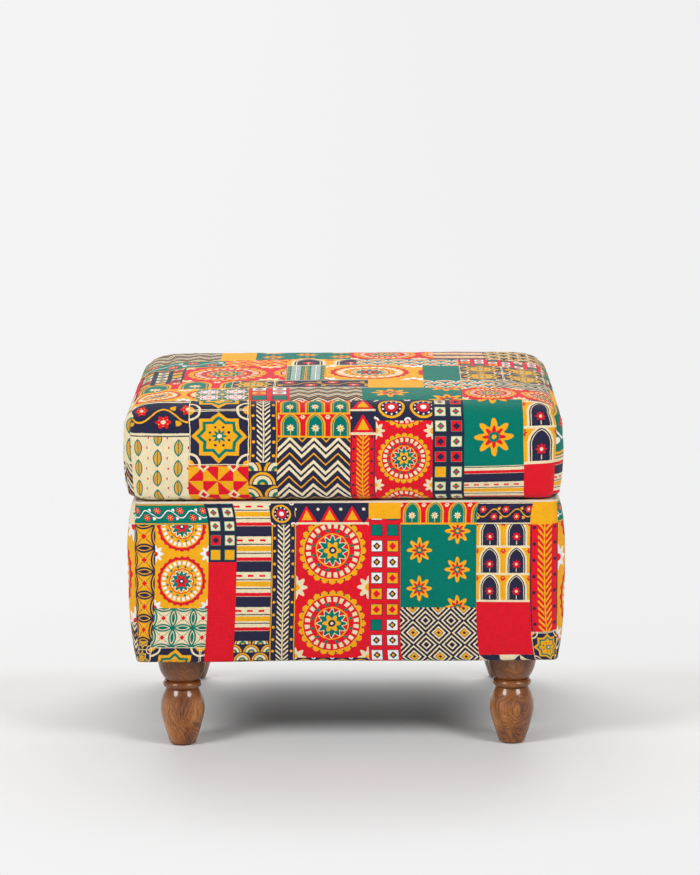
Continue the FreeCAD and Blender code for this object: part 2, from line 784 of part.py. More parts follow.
def stay_arm(sign):
    """A flat arm with a long slot, drawn hanging from its pivot and then leant back."""
    half = "stay_width / 2"
    slot = "(stud_radius + slot_clearance)"
    solids = [
        rod(half, "stay_thickness", ("0", "0", "0"), "+x"),
        rod(half, "stay_thickness", ("0", "0", f"-{SLOT_FAR}"), "+x"),
        box(("0", f"-{half}", f"-{SLOT_FAR}"), ("stay_thickness", half, "0")),
    ]
    openings = [
        rod(slot, "stay_thickness", ("0", "0", f"-{SLOT_NEAR}"), "+x"),
        rod(slot, "stay_thickness", ("0", "0", f"-{SLOT_FAR}"), "+x"),
        box(("0", f"-{slot}", f"-{SLOT_FAR}"), ("stay_thickness", slot, f"-{SLOT_NEAR}")),
    ]
    eye = rod("rivet_radius + running_clearance", "stay_thickness", ("0", "0", "0"), "+x")
    arm = cut(fuse(*solids), fuse(*openings), eye)
    arm.Placement = Placement(Vector(), Rotation(Vector(1, 0, 0), number(ARM_LEAN)))
    arm.setExpression(".Placement.Rotation.Angle", cells(ARM_LEAN))
    edge = ARM_INNER if sign == "1" else f"-{ARM_OUTER}"
    return place(arm, (edge, PIVOT_Y, PIVOT_Z))


# The pieces

panel_screws = corner_screws()
bottom_screws = board_screws()
lid_leaf_low = f"({LID_LOW} - leaf_thickness)"
leaf_screw_y = f"({AXIS_Y} - leaf_width + leaf_screw_margin)"
base_leaf_top = f"({RIM} + leaf_thickness)"
hinge_base_screws = hinge_screws("hinge_base_screws", PANEL_MID_Y, base_leaf_top, "hinge_screw", "-z")
hinge_lid_screws = hinge_screws("hinge_lid_screws", leaf_screw_y, lid_leaf_low, "lid_screw", "+z")
base_plate_screws = stay_base_screws()
bracket_screws = stay_lid_screws()
hanger_bolts, tee_nuts, leg_glides = leg_fixings()

# carcass of the base
bottom_block = plate(BOARD_X, BOARD_Y, BOARD_LOW, FLOOR)
bottom_bores = bolt_holes(BOARD_LOW, FLOOR)
node("bottom_board", cut(bottom_block, bottom_bores, tee_nuts, bottom_screws))
for end, sign in ENDS.items():
    near, far = (f"-{BOARD_Y}", f"-{INNER_Y}") if sign == "-1" else (INNER_Y, BOARD_Y)
    panel = box((f"-{BOARD_X}", near, FLOOR), (BOARD_X, far, PANEL_TOP))
    tools = [panel_screws, bottom_screws]
    if end == "rear":
        tools.append(hinge_base_screws)
    node(f"{end}_panel", cut(panel, *tools))
for side, sign in SIDES.items():
    near, far = (f"-{BOARD_X}", f"-{INNER_X}") if sign == "-1" else (INNER_X, BOARD_X)
    panel = box((near, f"-{INNER_Y}", FLOOR), (far, INNER_Y, PANEL_TOP))
    node(f"{side}_panel", cut(panel, panel_screws, bottom_screws, base_plate_screws))
blocks = []
for side in SIDES.values():
    for end in ENDS.values():
        corner = (f"{side} * {INNER_X}", f"{end} * {INNER_Y}")
        along_x = (f"{side} * ({INNER_X} - corner_block)", corner[1])
        along_y = (corner[0], f"{end} * ({INNER_Y} - corner_block)")
        blocks.append(extrude("CornerBlock", [corner, along_x, along_y], FLOOR, PANEL_TOP))
node("corner_blocks", group(*blocks))

# padding and cover of the base
base_form = soft_block("BaseForm", base_profile, BOARD_LOW, PANEL_TOP)
beyond_x = f"({HALF_X} + fabric)"
beyond_y = f"({HALF_Y} + fabric)"
pad_regions = {
    "front": ((f"-{beyond_x}", f"-{beyond_y}"), (beyond_x, f"-{BOARD_Y}")),
    "rear": ((f"-{beyond_x}", BOARD_Y), (beyond_x, beyond_y)),
    "left": ((f"-{beyond_x}", f"-{BOARD_Y}"), (f"-{BOARD_X}", BOARD_Y)),
    "right": ((BOARD_X, f"-{BOARD_Y}"), (beyond_x, BOARD_Y)),
}
for name, (low, high) in pad_regions.items():
    node(f"{name}_pad", common(base_form, box((*low, BOARD_LOW), (*high, PANEL_TOP))))
base_skin = soft_shell("BaseSkin", base_profile, "leg_height", RIM)
turn_in_low = f"({RIM} - rim_fold)"
rim_turn_in = extrude("RimTurnIn", well("0"), turn_in_low, RIM)
rim_opening = extrude("RimOpening", well("fabric"), turn_in_low, f"{RIM} + fabric")
fold_x = f"({BOARD_X} - fold_width)"
fold_y = f"({BOARD_Y} - fold_width)"
under_opening = plate(fold_x, fold_y, LEG_TOP, BOARD_LOW)
base_cloth = cut(fuse(base_skin, rim_turn_in), rim_opening, under_opening)
cover_bores = bolt_holes("leg_height", BOARD_LOW)
node("base_cover", cut(base_cloth, cover_bores, hinge_base_screws, base_plate_screws))

# lining of the storage well and dust cover under the bottom
lining_top = f"({RIM} - rim_reveal)"
lining_outside = extrude("LiningOutside", well("fabric"), FLOOR, lining_top)
lining_well = well("(fabric + lining_cloth)")
lining_inside = extrude("LiningInside", lining_well, f"{FLOOR} + lining_cloth", f"{lining_top} + fabric")
node("storage_lining", cut(lining_outside, lining_inside, base_plate_screws))
dust_x = f"({BOARD_X} - dust_margin)"
dust_y = f"({BOARD_Y} - dust_margin)"
dust_sheet = plate(dust_x, dust_y, LEG_TOP, "leg_height")
node("dust_cover", cut(dust_sheet, bolt_holes(LEG_TOP, "leg_height")))
between_legs = (f"({LEG_X} - bun_radius - staple_crown)", f"({LEG_Y} - bun_radius - staple_crown)")
staples("dust_cover_staples", (dust_x, dust_y), between_legs, LEG_TOP)

for corner, (x, y) in leg_spots().items():
    node(f"leg_{corner}", turn("Leg", leg_outline(), (x, y, "0")))

# lid
lid_block = plate(LID_BOARD_X, LID_BOARD_Y, LID_BOARD_LOW, LID_BOARD_TOP)
node("lid_board", cut(lid_block, hinge_lid_screws, bracket_screws))
lid_form = soft_block("LidForm", lid_profile, LID_BOARD_LOW, f"({LID_TOP} - fabric - cloth_ease)")
node("lid_foam", cut(lid_form, lid_block))
lid_skin = soft_shell("LidSkin", lid_profile, LID_LOW, LID_TOP)
lid_fold_x = f"({LID_BOARD_X} - fold_width)"
lid_fold_y = f"({LID_BOARD_Y} - fold_width)"
lid_opening = plate(lid_fold_x, lid_fold_y, RIM, LID_BOARD_LOW)
node("lid_cover", cut(lid_skin, lid_opening, hinge_lid_screws, bracket_screws))
lid_lining_x = f"({INNER_X} - lid_lining_margin)"
lid_lining_y = f"({INNER_Y} - lid_lining_margin)"
lid_sheet = plate(lid_lining_x, lid_lining_y, LID_LINING_LOW, LID_LOW)
node("lid_lining", cut(lid_sheet, bracket_screws))
clear_of_stays = (f"({lid_lining_x} - 2 * staple_crown)", f"({PIVOT_Y} - flange_length / 2 - staple_crown)")
staples("lid_lining_staples", (lid_lining_x, lid_lining_y), clear_of_stays, LID_LINING_LOW)

# hinges, stays and buffers
for side, middle in hinge_middles().items():
    base_knuckles = range(0, KNUCKLES, 2)
    lid_knuckles = range(1, KNUCKLES, 2)
    hinge_leaf(f"hinge_base_leaf_{side}", middle, base_knuckles, RIM, hinge_base_screws)
    hinge_leaf(f"hinge_lid_leaf_{side}", middle, lid_knuckles, lid_leaf_low, hinge_lid_screws)
    hinge_pin(f"hinge_pin_{side}", middle)
for side, sign in SIDES.items():
    rivet = node(f"stay_rivet_{side}", stay_rivet(sign))
    node(f"stay_base_plate_{side}", stay_base_plate(sign, base_plate_screws))
    node(f"stay_lid_bracket_{side}", stay_lid_bracket(sign, rivet, bracket_screws))
    node(f"stay_arm_{side}", stay_arm(sign))
buffers = []
for sign in SIDES.values():
    spot = (f"{sign} * ({BOARD_X} - buffer_inset)", f"-{PANEL_MID_Y}", RIM)
    buffers.append(rod("buffer_radius", f"{LID_LOW} - {RIM} - buffer_clearance", spot))
node("rim_buffers", group(*buffers))

# Checks, then one file for each sub-part

doc.recompute()
for thing in doc.Objects:
    if "Invalid" in thing.State or "Error" in thing.State:
        raise RuntimeError(f"{thing.Name} failed: {thing.State}")
for thing in nodes:
    if thing.Shape.isNull() or not thing.Shape.isValid():
        raise RuntimeError(f"{thing.Label} has no valid shape")
    if not thing.Shape.Solids:
        raise RuntimeError(f"{thing.Label} has no solid")

os.makedirs("parts", exist_ok=True)
for thing in nodes:
    thing.Shape.exportStep(os.path.join("parts", f"{thing.Label}.step"))
    print(f"{thing.Label}: {len(thing.Shape.Solids)} solids, {thing.Shape.Volume / 1000:.2f} cm3")
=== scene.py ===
import json
import math
from collections import namedtuple

import bpy
import numpy as np
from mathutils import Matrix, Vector, noise


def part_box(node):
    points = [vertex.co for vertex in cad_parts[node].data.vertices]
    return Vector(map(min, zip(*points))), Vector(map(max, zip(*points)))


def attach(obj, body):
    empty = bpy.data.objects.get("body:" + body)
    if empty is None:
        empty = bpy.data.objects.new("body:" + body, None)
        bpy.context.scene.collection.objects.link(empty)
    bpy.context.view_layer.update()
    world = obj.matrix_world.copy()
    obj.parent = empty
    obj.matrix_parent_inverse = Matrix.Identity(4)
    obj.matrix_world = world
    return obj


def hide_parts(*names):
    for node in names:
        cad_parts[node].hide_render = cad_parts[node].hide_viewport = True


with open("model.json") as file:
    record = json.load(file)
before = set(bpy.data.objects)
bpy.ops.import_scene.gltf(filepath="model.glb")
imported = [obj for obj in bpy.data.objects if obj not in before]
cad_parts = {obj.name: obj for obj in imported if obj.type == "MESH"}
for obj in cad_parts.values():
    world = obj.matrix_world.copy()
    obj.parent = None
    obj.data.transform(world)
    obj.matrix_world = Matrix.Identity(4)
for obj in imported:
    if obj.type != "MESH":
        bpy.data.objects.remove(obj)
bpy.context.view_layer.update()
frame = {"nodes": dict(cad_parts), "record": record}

# Storage ottoman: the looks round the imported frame. Metres, +Z up, the front faces -Y.

# Sizes read from the frame
LID_LOW, LID_TOP = (corner.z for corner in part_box("lid_cover"))
HALF_X, HALF_Y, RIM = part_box("base_cover")[1]
BASE_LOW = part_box("base_cover")[0].z
BOARD_X, BOARD_Y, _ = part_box("bottom_board")[1]
LID_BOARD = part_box("lid_board")[1]
INNER_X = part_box("right_panel")[0].x
INNER_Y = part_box("rear_panel")[0].y
LINING_LOW, LINING_TOP = (corner.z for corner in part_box("storage_lining"))
LEG_X = sum(corner.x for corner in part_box("leg_front_right")) / 2
LEG_Y = sum(corner.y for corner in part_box("leg_rear_right")) / 2

# Upholstery: the mesh's step, then the lid's form, the base's form and the cloth's turned-under edge
STEP = 0.004
LID_ROUND = 0.031
LID_CROWN = 0.004
LID_TAPER, LID_TAPER_TOP, TAPER_CURVE = 0.0045, 0.41, 1.4
LID_LIP = 0.0062
LID_LEAN = 0.002
LID_SWAY = 0.0025
LID_CORNER_DROP = 0.006
BASE_CORNER, LEAST_CORNER = 0.027, 0.003
BASE_PAD = 0.012
FOOT_DRAW, FOOT_ROUND, FOOT_CURVE = 0.0075, 0.005, 3.6
RIM_DRAW, RIM_ROLL = 0.009, 0.045
BAND_ANGLE = math.radians(74)
WELL_CHAMFER = 0.026
CLOTH = 0.001
FOLD = 0.028
FOLD_SHARES = (1.0, 0.6, 0.25, 0.08)
TINY = 1e-9


def srgb(red, green, blue):
    """A linear colour from sRGB bytes."""
    channels = []
    for byte in (red, green, blue):
        share = byte / 255
        channels.append(share / 12.92 if share <= 0.04045 else ((share + 0.055) / 1.055) ** 2.4)
    return (*channels, 1.0)


def darker(colour, share):
    """A colour with a share of its light."""
    return (*(channel * share for channel in colour[:3]), 1.0)


# Inks of the print
RED = srgb(232, 26, 44)
MUSTARD = srgb(249, 178, 30)
TEAL = srgb(0, 122, 105)
NAVY = srgb(42, 43, 70)
CREAM = srgb(243, 227, 188)
WHITE = srgb(246, 244, 240)

# Shader helpers

COLOUR_FIRST, COLOUR_SECOND, COLOUR_RESULT = 6, 7, 2
NOISE_LOW, NOISE_HIGH = 0.3, 0.7


class Field:
    """A number that varies over a surface, built up from Math nodes."""

    def __init__(self, tree, socket):
        self.tree = tree
        self.socket = socket

    def math(self, operation, *others):
        node = self.tree.nodes.new("ShaderNodeMath")
        node.operation = operation
        for socket, value in zip(node.inputs, (self, *others)):
            feed(self.tree, socket, value)
        return Field(self.tree, node.outputs[0])

    def __add__(self, other):
        return self.math("ADD", other)

    def __sub__(self, other):
        return self.math("SUBTRACT", other)

    def __mul__(self, other):
        return self.math("MULTIPLY", other)

    def abs(self):
        return self.math("ABSOLUTE")

    def fract(self):
        return self.math("FRACT")

    def floor(self):
        return self.math("FLOOR")

    def below(self, limit):
        return self.math("LESS_THAN", limit)

    def above(self, limit):
        return self.math("GREATER_THAN", limit)

    def least(self, other):
        return self.math("MINIMUM", other)

    def most(self, other):
        return self.math("MAXIMUM", other)

    def near(self, value, reach):
        return (self - value).abs().below(reach)


def feed(tree, socket, value):
    """Sets an input to a value, or joins it to an output or a Field."""
    if isinstance(value, Field):
        value = value.socket
    if isinstance(value, bpy.types.NodeSocket):
        tree.links.new(value, socket)
    else:
        socket.default_value = value


def add(tree, kind, inputs=None, **settings):
    """A new node with its settings and inputs."""
    node = tree.nodes.new(kind)
    for name, value in settings.items():
        setattr(node, name, value)
    for name, value in (inputs or {}).items():
        feed(tree, node.inputs[name], value)
    return node


def mix(tree, share, first, second, blend="MIX"):
    """The colour between two, or another blend of them, as an output."""
    inputs = {0: share, COLOUR_FIRST: first, COLOUR_SECOND: second}
    return add(tree, "ShaderNodeMix", inputs, data_type="RGBA", blend_type=blend).outputs[COLOUR_RESULT]


def ramp(tree, value, *stops):
    """A colour ramp through (place, colour) stops."""
    node = add(tree, "ShaderNodeValToRGB", {0: value})
    elements = node.color_ramp.elements
    while len(elements) < len(stops):
        elements.new(0.5)
    for element, (place, colour) in zip(elements, stops):
        element.position = place
        element.color = colour
    return node.outputs[0]


def two_tone(tree, value, dark, pale):
    """From dark to pale over the middle of a noise's range."""
    return ramp(tree, value, (NOISE_LOW, dark), (NOISE_HIGH, pale))


def spread(tree, value, low, high, to_low, to_high, way="LINEAR"):
    """A number moved from one range to another and held within it."""
    inputs = {"Value": value, "From Min": low, "From Max": high, "To Min": to_low, "To Max": to_high}
    return Field(tree, add(tree, "ShaderNodeMapRange", inputs, interpolation_type=way).outputs[0])


def new_material(name, **sockets):
    """A material with one Principled shader, and the constant values on its sockets."""
    material = bpy.data.materials.new(name)
    material.use_nodes = True
    tree = material.node_tree
    shader = tree.nodes["Principled BSDF"]
    for socket, value in sockets.items():
        shader.inputs[socket.replace("_", " ")].default_value = value
    return material, tree, shader


def dress(tree, shader, colour, height, distance):
    """Gives a shader its colour, and bump from a height of 0 to 1 that stands for a distance in metres."""
    feed(tree, shader.inputs["Base Color"], colour)
    node = add(tree, "ShaderNodeBump", {"Distance": distance, "Height": height})
    feed(tree, shader.inputs["Normal"], node.outputs[0])


def scaled(tree, vector, factors):
    """A vector, scaled along its three axes."""
    return add(tree, "ShaderNodeMapping", {"Vector": vector, "Scale": factors}).outputs[0]


def object_place(tree):
    """The place on the object, in metres."""
    return tree.nodes.new("ShaderNodeTexCoord").outputs["Object"]


def uv_place(tree, name):
    """The place on a named UV map."""
    return add(tree, "ShaderNodeUVMap", uv_map=name).outputs[0]


def noise_value(tree, vector, waves, detail=2.0, rough=0.5):
    """Smooth noise between 0 and 1, with a number of waves to the unit along each axis."""
    inputs = {"Vector": scaled(tree, vector, waves), "Scale": 1.0, "Detail": detail, "Roughness": rough}
    return Field(tree, add(tree, "ShaderNodeTexNoise", inputs).outputs[0])


def split(tree, vector):
    """A vector's three parts."""
    node = add(tree, "ShaderNodeSeparateXYZ", {0: vector})
    return [Field(tree, output) for output in node.outputs]


# Cloth: how many threads, slubs and flecks lie on a metre, and how they change its tone; the threads do it
# by painted shade, darker between them

THREADS = 1500
SLUBS, SLUBS_LONG, FLECKS = 800, 70, 650
UNEVEN, TONES = (0.9, 2.1), (0.8, 1.2)
# Painted shade of the weave: how much lighter the cloth is on a thread's top, and its share between threads
WEAVE_SHADE_SPAN, WEAVE_SHADE_LOW = 0.1, 0.95
WEAVE_DEPTH = 0.00018


def weave(tree, threads):
    """Height and tone of a plain weave, from the cloth's own UV map in metres. The tone is the yarn's own
    unevenness times painted shade that is darker between the threads.
    """
    place = uv_place(tree, "cloth")
    across, along, _ = split(tree, scaled(tree, place, (threads, threads, 1)))
    over = ((across.floor() + along.floor()) * 0.5).fract().above(0.25)
    warp = (across * math.pi).math("SINE").abs()
    weft = (along * math.pi).math("SINE").abs()
    height = warp * over + weft * (over * -1 + 1)
    uneven = noise_value(tree, place, (SLUBS_LONG, SLUBS, 1), 3)
    uneven = uneven + noise_value(tree, place, (SLUBS, SLUBS_LONG, 1), 3)
    uneven = uneven + noise_value(tree, place, (FLECKS, FLECKS, 1), 3)
    # Painted shade: the colour is darker between the threads and lighter on their tops
    return height, spread(tree, uneven, *UNEVEN, *TONES) * (height * WEAVE_SHADE_SPAN + WEAVE_SHADE_LOW)


def cloth_material(name, colour_of, sheen=0.12, threads=THREADS):
    """Woven cotton whose colour a function gives."""
    material, tree, shader = new_material(
        name, Roughness=0.88, Sheen_Weight=sheen, Sheen_Roughness=0.45, Specular_IOR_Level=0.06
    )
    height, tone = weave(tree, threads)
    dress(tree, shader, mix(tree, 1.0, colour_of(tree), tone, "MULTIPLY"), height, WEAVE_DEPTH)
    return material


def reach_of(x, y):
    """Distance from the middle."""
    return (x * x + y * y).math("SQRT")


def turn_of(x, y):
    """Angle about the middle, in turns."""
    return y.math("ARCTAN2", x) * (0.5 / math.pi)


def wave_round(turn, count):
    """A number of waves that go once round the middle."""
    return (turn * (2 * math.pi * count)).math("COSINE")


def middle(x, y):
    """Place in a tile, from its middle."""
    return x.fract() - 0.5, y.fract() - 0.5


def dropped(x, y):
    """Place in a tile of columns that drop by half a tile in turn."""
    return x.fract() - 0.5, (y + (x.floor() * 0.5).fract()).fract() - 0.5


def dots_round(across, along, count, far, size):
    """Dots in a ring about the middle."""
    reach = reach_of(across, along)
    swing = ((turn_of(across, along) * count).fract() - 0.5) * (2 * math.pi * far / count)
    return reach_of(swing, reach - far).below(size)


def bloom(across, along, count, size, depth):
    """A flower of round petals about the middle."""
    return (reach_of(across, along) - wave_round(turn_of(across, along), count) * depth).below(size)


def nested(field, *steps):
    """Shapes one inside another, as (limit, ink) steps of a number that is least at their middle."""
    return [(field.below(limit), ink) for limit, ink in steps]


# Motifs, in parts of a tile. Each takes a place in tiles, and gives what is printed over the ground, in
# order, with the number of its ink. Ink 0 is the ground's.


def plain(x, y):
    return []


def stripes(x, y):
    bar = y.fract()
    dash = bar.near(0.89, 0.03) * (x * 3).fract().below(0.5)
    return [
        (bar.below(0.3), 1),
        (bar.near(0.36, 0.05), 2),
        (bar.near(0.66, 0.07), 3),
        (bar.near(0.78, 0.014), 1),
        (bar.near(0.53, 0.014), 1),
        (dash, 2),
    ]


def zigzag(x, y):
    band = (y + (x.fract() - 0.5).abs()).fract()
    return [(band.below(0.44), 1), (band.near(0.22, 0.06), 2), (band.near(0.72, 0.035), 3)]


def petals(x, y):
    across, along = middle(x, y)
    wide, high = across.abs(), along.abs()
    leaf = reach_of(wide - 1, high).least(reach_of(wide, high - 1))
    cross = (wide - high).abs().below(0.018) * reach_of(wide, high).above(0.12)
    return [
        (cross, 1),
        *nested(leaf, (0.7, 1), (0.62, 0), (0.58, 1)),
        ((wide + high).below(0.13), 2),
    ]


def star_tiles(x, y):
    across, along = middle(x, y)
    wide, high = across.abs(), along.abs()
    star = wide.most(high).least((wide + high) * math.sqrt(0.5))
    corner = reach_of(wide - 0.5, high - 0.5)
    return [
        *nested(corner, (0.21, 4), (0.17, 0), (0.1, 1)),
        (wide.most(high).near(0.485, 0.008), 4),
        *nested(star, (0.33, 1), (0.27, 2), (0.22, 3)),
        (dots_round(across, along, 8, 0.17, 0.022), 0),
        (bloom(across, along, 8, 0.09, 0.03), 2),
        (reach_of(across, along).below(0.04), 4),
    ]


def diamonds(x, y):
    across, along = middle(x, y)
    far = across.abs() + along.abs()
    return [((far * 5).fract().below(0.4), 1), *nested(far, (0.17, 2), (0.07, 0))]


def dotted_checks(x, y):
    tree = x.tree
    across, along = middle(x, y)
    cell = add(tree, "ShaderNodeCombineXYZ", {0: x.floor(), 1: y.floor()}).outputs[0]
    chances = add(tree, "ShaderNodeTexWhiteNoise", {"Vector": cell}, noise_dimensions="2D")
    chance = Field(tree, chances.outputs[0])
    far = across.abs().most(along.abs())
    square = far.below(0.33)
    spot = (across.abs() + along.abs()).below(0.24)
    return [
        (far.below(0.37), 4),
        (square, 1),
        (square * chance.below(0.3), 2),
        (square * chance.above(0.7), 3),
        (spot * chance.near(0.5, 0.21), 4),
        (spot * chance.below(0.15), 0),
        (reach_of(across, along).below(0.09) * chance.near(0.5, 0.21), 2),
    ]


def scales(x, y):
    row = (y * 2).floor()
    high = (y * 2).fract() * 0.5
    shift = (row * 0.5).fract()
    near = reach_of((x + shift).fract() - 0.5, high)
    far = reach_of((x + shift + 0.5).fract() - 0.5, high + 0.5)
    inside = near.below(0.5)
    reach = near * inside + far * (inside * -1 + 1)
    return nested(reach, (0.46, 1), (0.37, 0), (0.33, 2), (0.2, 3), (0.09, 1))


def roundel(x, y):
    across, along = middle(x, y)
    reach = reach_of(across, along)
    turn = turn_of(across, along)
    fan = ((turn * 24).fract() - 0.5).abs()
    star = reach - wave_round(turn, 12) * 0.03
    corner_x, corner_y = across.abs() - 0.5, along.abs() - 0.5
    return [
        (bloom(corner_x, corner_y, 8, 0.13, 0.03), 3),
        (reach_of(corner_x, corner_y).below(0.05), 1),
        ((reach - wave_round(turn, 24) * 0.014).below(0.45), 1),
        (dots_round(across, along, 24, 0.425, 0.012), 2),
        (reach.below(0.39), 0),
        (fan.below(0.3) * reach.near(0.335, 0.035), 3),
        (dots_round(across, along, 12, 0.27, 0.022), 4),
        (reach.near(0.225, 0.008), 1),
        *nested(star, (0.185, 3), (0.165, 4)),
        (bloom(across, along, 6, 0.1, 0.025), 1),
        *nested(reach, (0.05, 2), (0.022, 3)),
    ]


def daisies(x, y):
    across, along = dropped(x, y)
    reach = reach_of(across, along)
    high = (along + 0.5).fract() - 0.5
    out = (across.abs() + high) * math.sqrt(0.5)
    side = (high - across.abs()) * math.sqrt(0.5)
    leaf = reach_of(out - 0.12, side * 2.4)
    return [
        (leaf.below(0.11), 3),
        (across.abs().below(0.014) * high.near(-0.03, 0.14), 3),
        (reach_of(across, high + 0.15).below(0.04), 2),
        (bloom(across, along, 8, 0.26, 0.075), 1),
        (bloom(across, along, 8, 0.15, 0.05), 2),
        *nested(reach, (0.09, 0), (0.04, 1)),
    ]


def pinwheels(x, y):
    across, along = middle(x, y)
    blade = (turn_of(across, along) * 4).fract().below(0.5)
    far = across.abs() + along.abs()
    return [(blade, 1), *nested(far, (0.2, 2), (0.1, 0))]


def leaves(x, y):
    across, along = dropped(x, y)
    wide = across.abs()
    leaf = reach_of(wide + 0.32, along) - 0.54
    vein = ((along - wide * 1.4) * 9).fract().below(0.2)
    return [
        *nested(leaf, (0.0, 1), (-0.06, 2)),
        (leaf.below(-0.075) * vein, 1),
        (wide.below(0.02) * leaf.below(-0.02), 1),
        (reach_of(wide - 0.5, along).below(0.07), 3),
    ]


def vine(x, y):
    across, along = middle(x, y)
    stem = (across * (2 * math.pi)).math("SINE") * 0.17
    side = across.math("SIGN")
    bloom_x, bloom_y = across.abs() - 0.25, along * side + 0.16
    leaf = reach_of(across.abs() - 0.5, (along * side - 0.2) * 1.7)
    return [
        (along.abs().near(0.45, 0.025), 3),
        ((along - stem).abs().below(0.026), 1),
        (leaf.below(0.12), 1),
        (bloom(bloom_x, bloom_y, 6, 0.14, 0.03), 2),
        (dots_round(bloom_x, bloom_y, 6, 0.1, 0.014), 1),
        (reach_of(bloom_x, bloom_y).below(0.05), 3),
    ]


def arches(x, y):
    across, along = middle(x, y)
    wide = across.abs()
    point = reach_of(wide + 0.2, along.most(0.02) - 0.02)
    low = along + 0.14
    return [
        (bloom(wide - 0.5, along - 0.38, 6, 0.09, 0.02), 3),
        (reach_of(wide - 0.5, along - 0.4).below(0.03), 0),
        *nested(point, (0.6, 1), (0.53, 2)),
        (point.near(0.48, 0.012), 1),
        (wide.below(0.014) * low.near(-0.12, 0.12), 1),
        (bloom(across, low - 0.04, 8, 0.13, 0.035), 3),
        (reach_of(across, low - 0.04).below(0.05), 1),
        (along.below(-0.42), 1),
    ]


def rings(x, y):
    across, along = middle(x, y)
    reach = reach_of(across, along)
    corner = reach_of(across.abs() - 0.5, along.abs() - 0.5)
    return [
        *nested(reach, (0.42, 1), (0.34, 0)),
        (dots_round(across, along, 10, 0.28, 0.032), 3),
        *nested(reach, (0.21, 2), (0.1, 3)),
        *nested(corner, (0.11, 3), (0.05, 2)),
    ]


def wheat(x, y):
    across, along = middle(x, y)
    wide = across.abs()
    return [
        ((along * 5 - wide * 5).fract().below(0.45) * wide.near(0.14, 0.1), 1),
        (wide.below(0.025), 1),
        (wide.near(0.46, 0.02), 2),
        (reach_of(wide - 0.36, (along * 2).fract() * 0.5 - 0.25).below(0.055), 2),
    ]


def bunting(x, y):
    across, along = middle(x, y)
    return [
        ((along + across.abs() * 1.7).below(0.36) * along.above(-0.4), 1),
        ((along + across.abs() * 1.9).below(0.16) * along.above(-0.3), 2),
        (along.below(-0.4), 3),
        (reach_of(across.abs() - 0.5, along - 0.2).below(0.07), 3),
    ]


# Each print: its motif, its inks and the size of a tile in metres
PRINTS = {
    "red": (plain, (RED,), 0.05),
    "mustard": (plain, (MUSTARD,), 0.05),
    "teal": (plain, (TEAL,), 0.05),
    "cream_stripes": (stripes, (CREAM, NAVY, RED, MUSTARD), 0.034),
    "navy_zigzag": (zigzag, (NAVY, CREAM, NAVY, MUSTARD), 0.027),
    "red_zigzag": (zigzag, (RED, MUSTARD, RED, CREAM), 0.022),
    "cream_petals": (petals, (CREAM, TEAL, RED), 0.03),
    "mustard_petals": (petals, (MUSTARD, NAVY, RED), 0.03),
    "navy_stars": (star_tiles, (NAVY, MUSTARD, TEAL, MUSTARD, CREAM), 0.052),
    "teal_stars": (star_tiles, (TEAL, WHITE, RED, WHITE, MUSTARD), 0.044),
    "navy_diamonds": (diamonds, (NAVY, CREAM, MUSTARD), 0.038),
    "red_checks": (dotted_checks, (RED, WHITE, MUSTARD, TEAL, NAVY), 0.0215),
    "navy_checks": (dotted_checks, (NAVY, CREAM, RED, MUSTARD, TEAL), 0.019),
    "teal_scales": (scales, (TEAL, WHITE, MUSTARD, RED), 0.036),
    "mustard_scales": (scales, (NAVY, MUSTARD, CREAM, TEAL), 0.03),
    "red_roundels": (roundel, (RED, MUSTARD, NAVY, CREAM, TEAL), 0.1),
    "mustard_roundels": (roundel, (MUSTARD, RED, NAVY, WHITE, TEAL), 0.11),
    "teal_daisies": (daisies, (TEAL, MUSTARD, RED, CREAM), 0.054),
    "cream_daisies": (daisies, (CREAM, TEAL, MUSTARD, RED), 0.034),
    "cream_pinwheels": (pinwheels, (CREAM, NAVY, RED), 0.044),
    "red_pinwheels": (pinwheels, (RED, MUSTARD, CREAM), 0.036),
    "cream_leaves": (leaves, (CREAM, TEAL, MUSTARD, RED), 0.032),
    "teal_vine": (vine, (TEAL, WHITE, RED, MUSTARD), 0.055),
    "navy_vine": (vine, (NAVY, MUSTARD, RED, CREAM), 0.045),
    "mustard_arches": (arches, (MUSTARD, CREAM, NAVY, RED), 0.044),
    "red_arches": (arches, (RED, MUSTARD, TEAL, CREAM), 0.04),
    "navy_rings": (rings, (NAVY, MUSTARD, RED, WHITE), 0.032),
    "teal_wheat": (wheat, (TEAL, WHITE, MUSTARD), 0.03),
    "navy_wheat": (wheat, (NAVY, CREAM, MUSTARD), 0.03),
    "red_wheat": (wheat, (RED, MUSTARD, NAVY), 0.03),
    "navy_bunting": (bunting, (NAVY, RED, MUSTARD, CREAM), 0.03),
}
WOBBLE, WOBBLES = 0.03, 9

print_materials = {}


def print_material(name):
    """The printed cotton of one patch, made once."""
    motif, inks, _ = PRINTS[name]

    def colour_of(tree):
        tile = uv_place(tree, "tile")
        x, y, _ = split(tree, tile)
        x = x + (noise_value(tree, tile, (WOBBLES, WOBBLES, WOBBLES)) - 0.5) * WOBBLE
        y = y + (noise_value(tree, tile, (-WOBBLES, WOBBLES, WOBBLES)) - 0.5) * WOBBLE
        colour = inks[0]
        for mask, ink in motif(x, y):
            colour = mix(tree, mask, colour, inks[ink])
        return colour

    if name not in print_materials:
        print_materials[name] = cloth_material(f"print_{name}", colour_of)
    return print_materials[name]


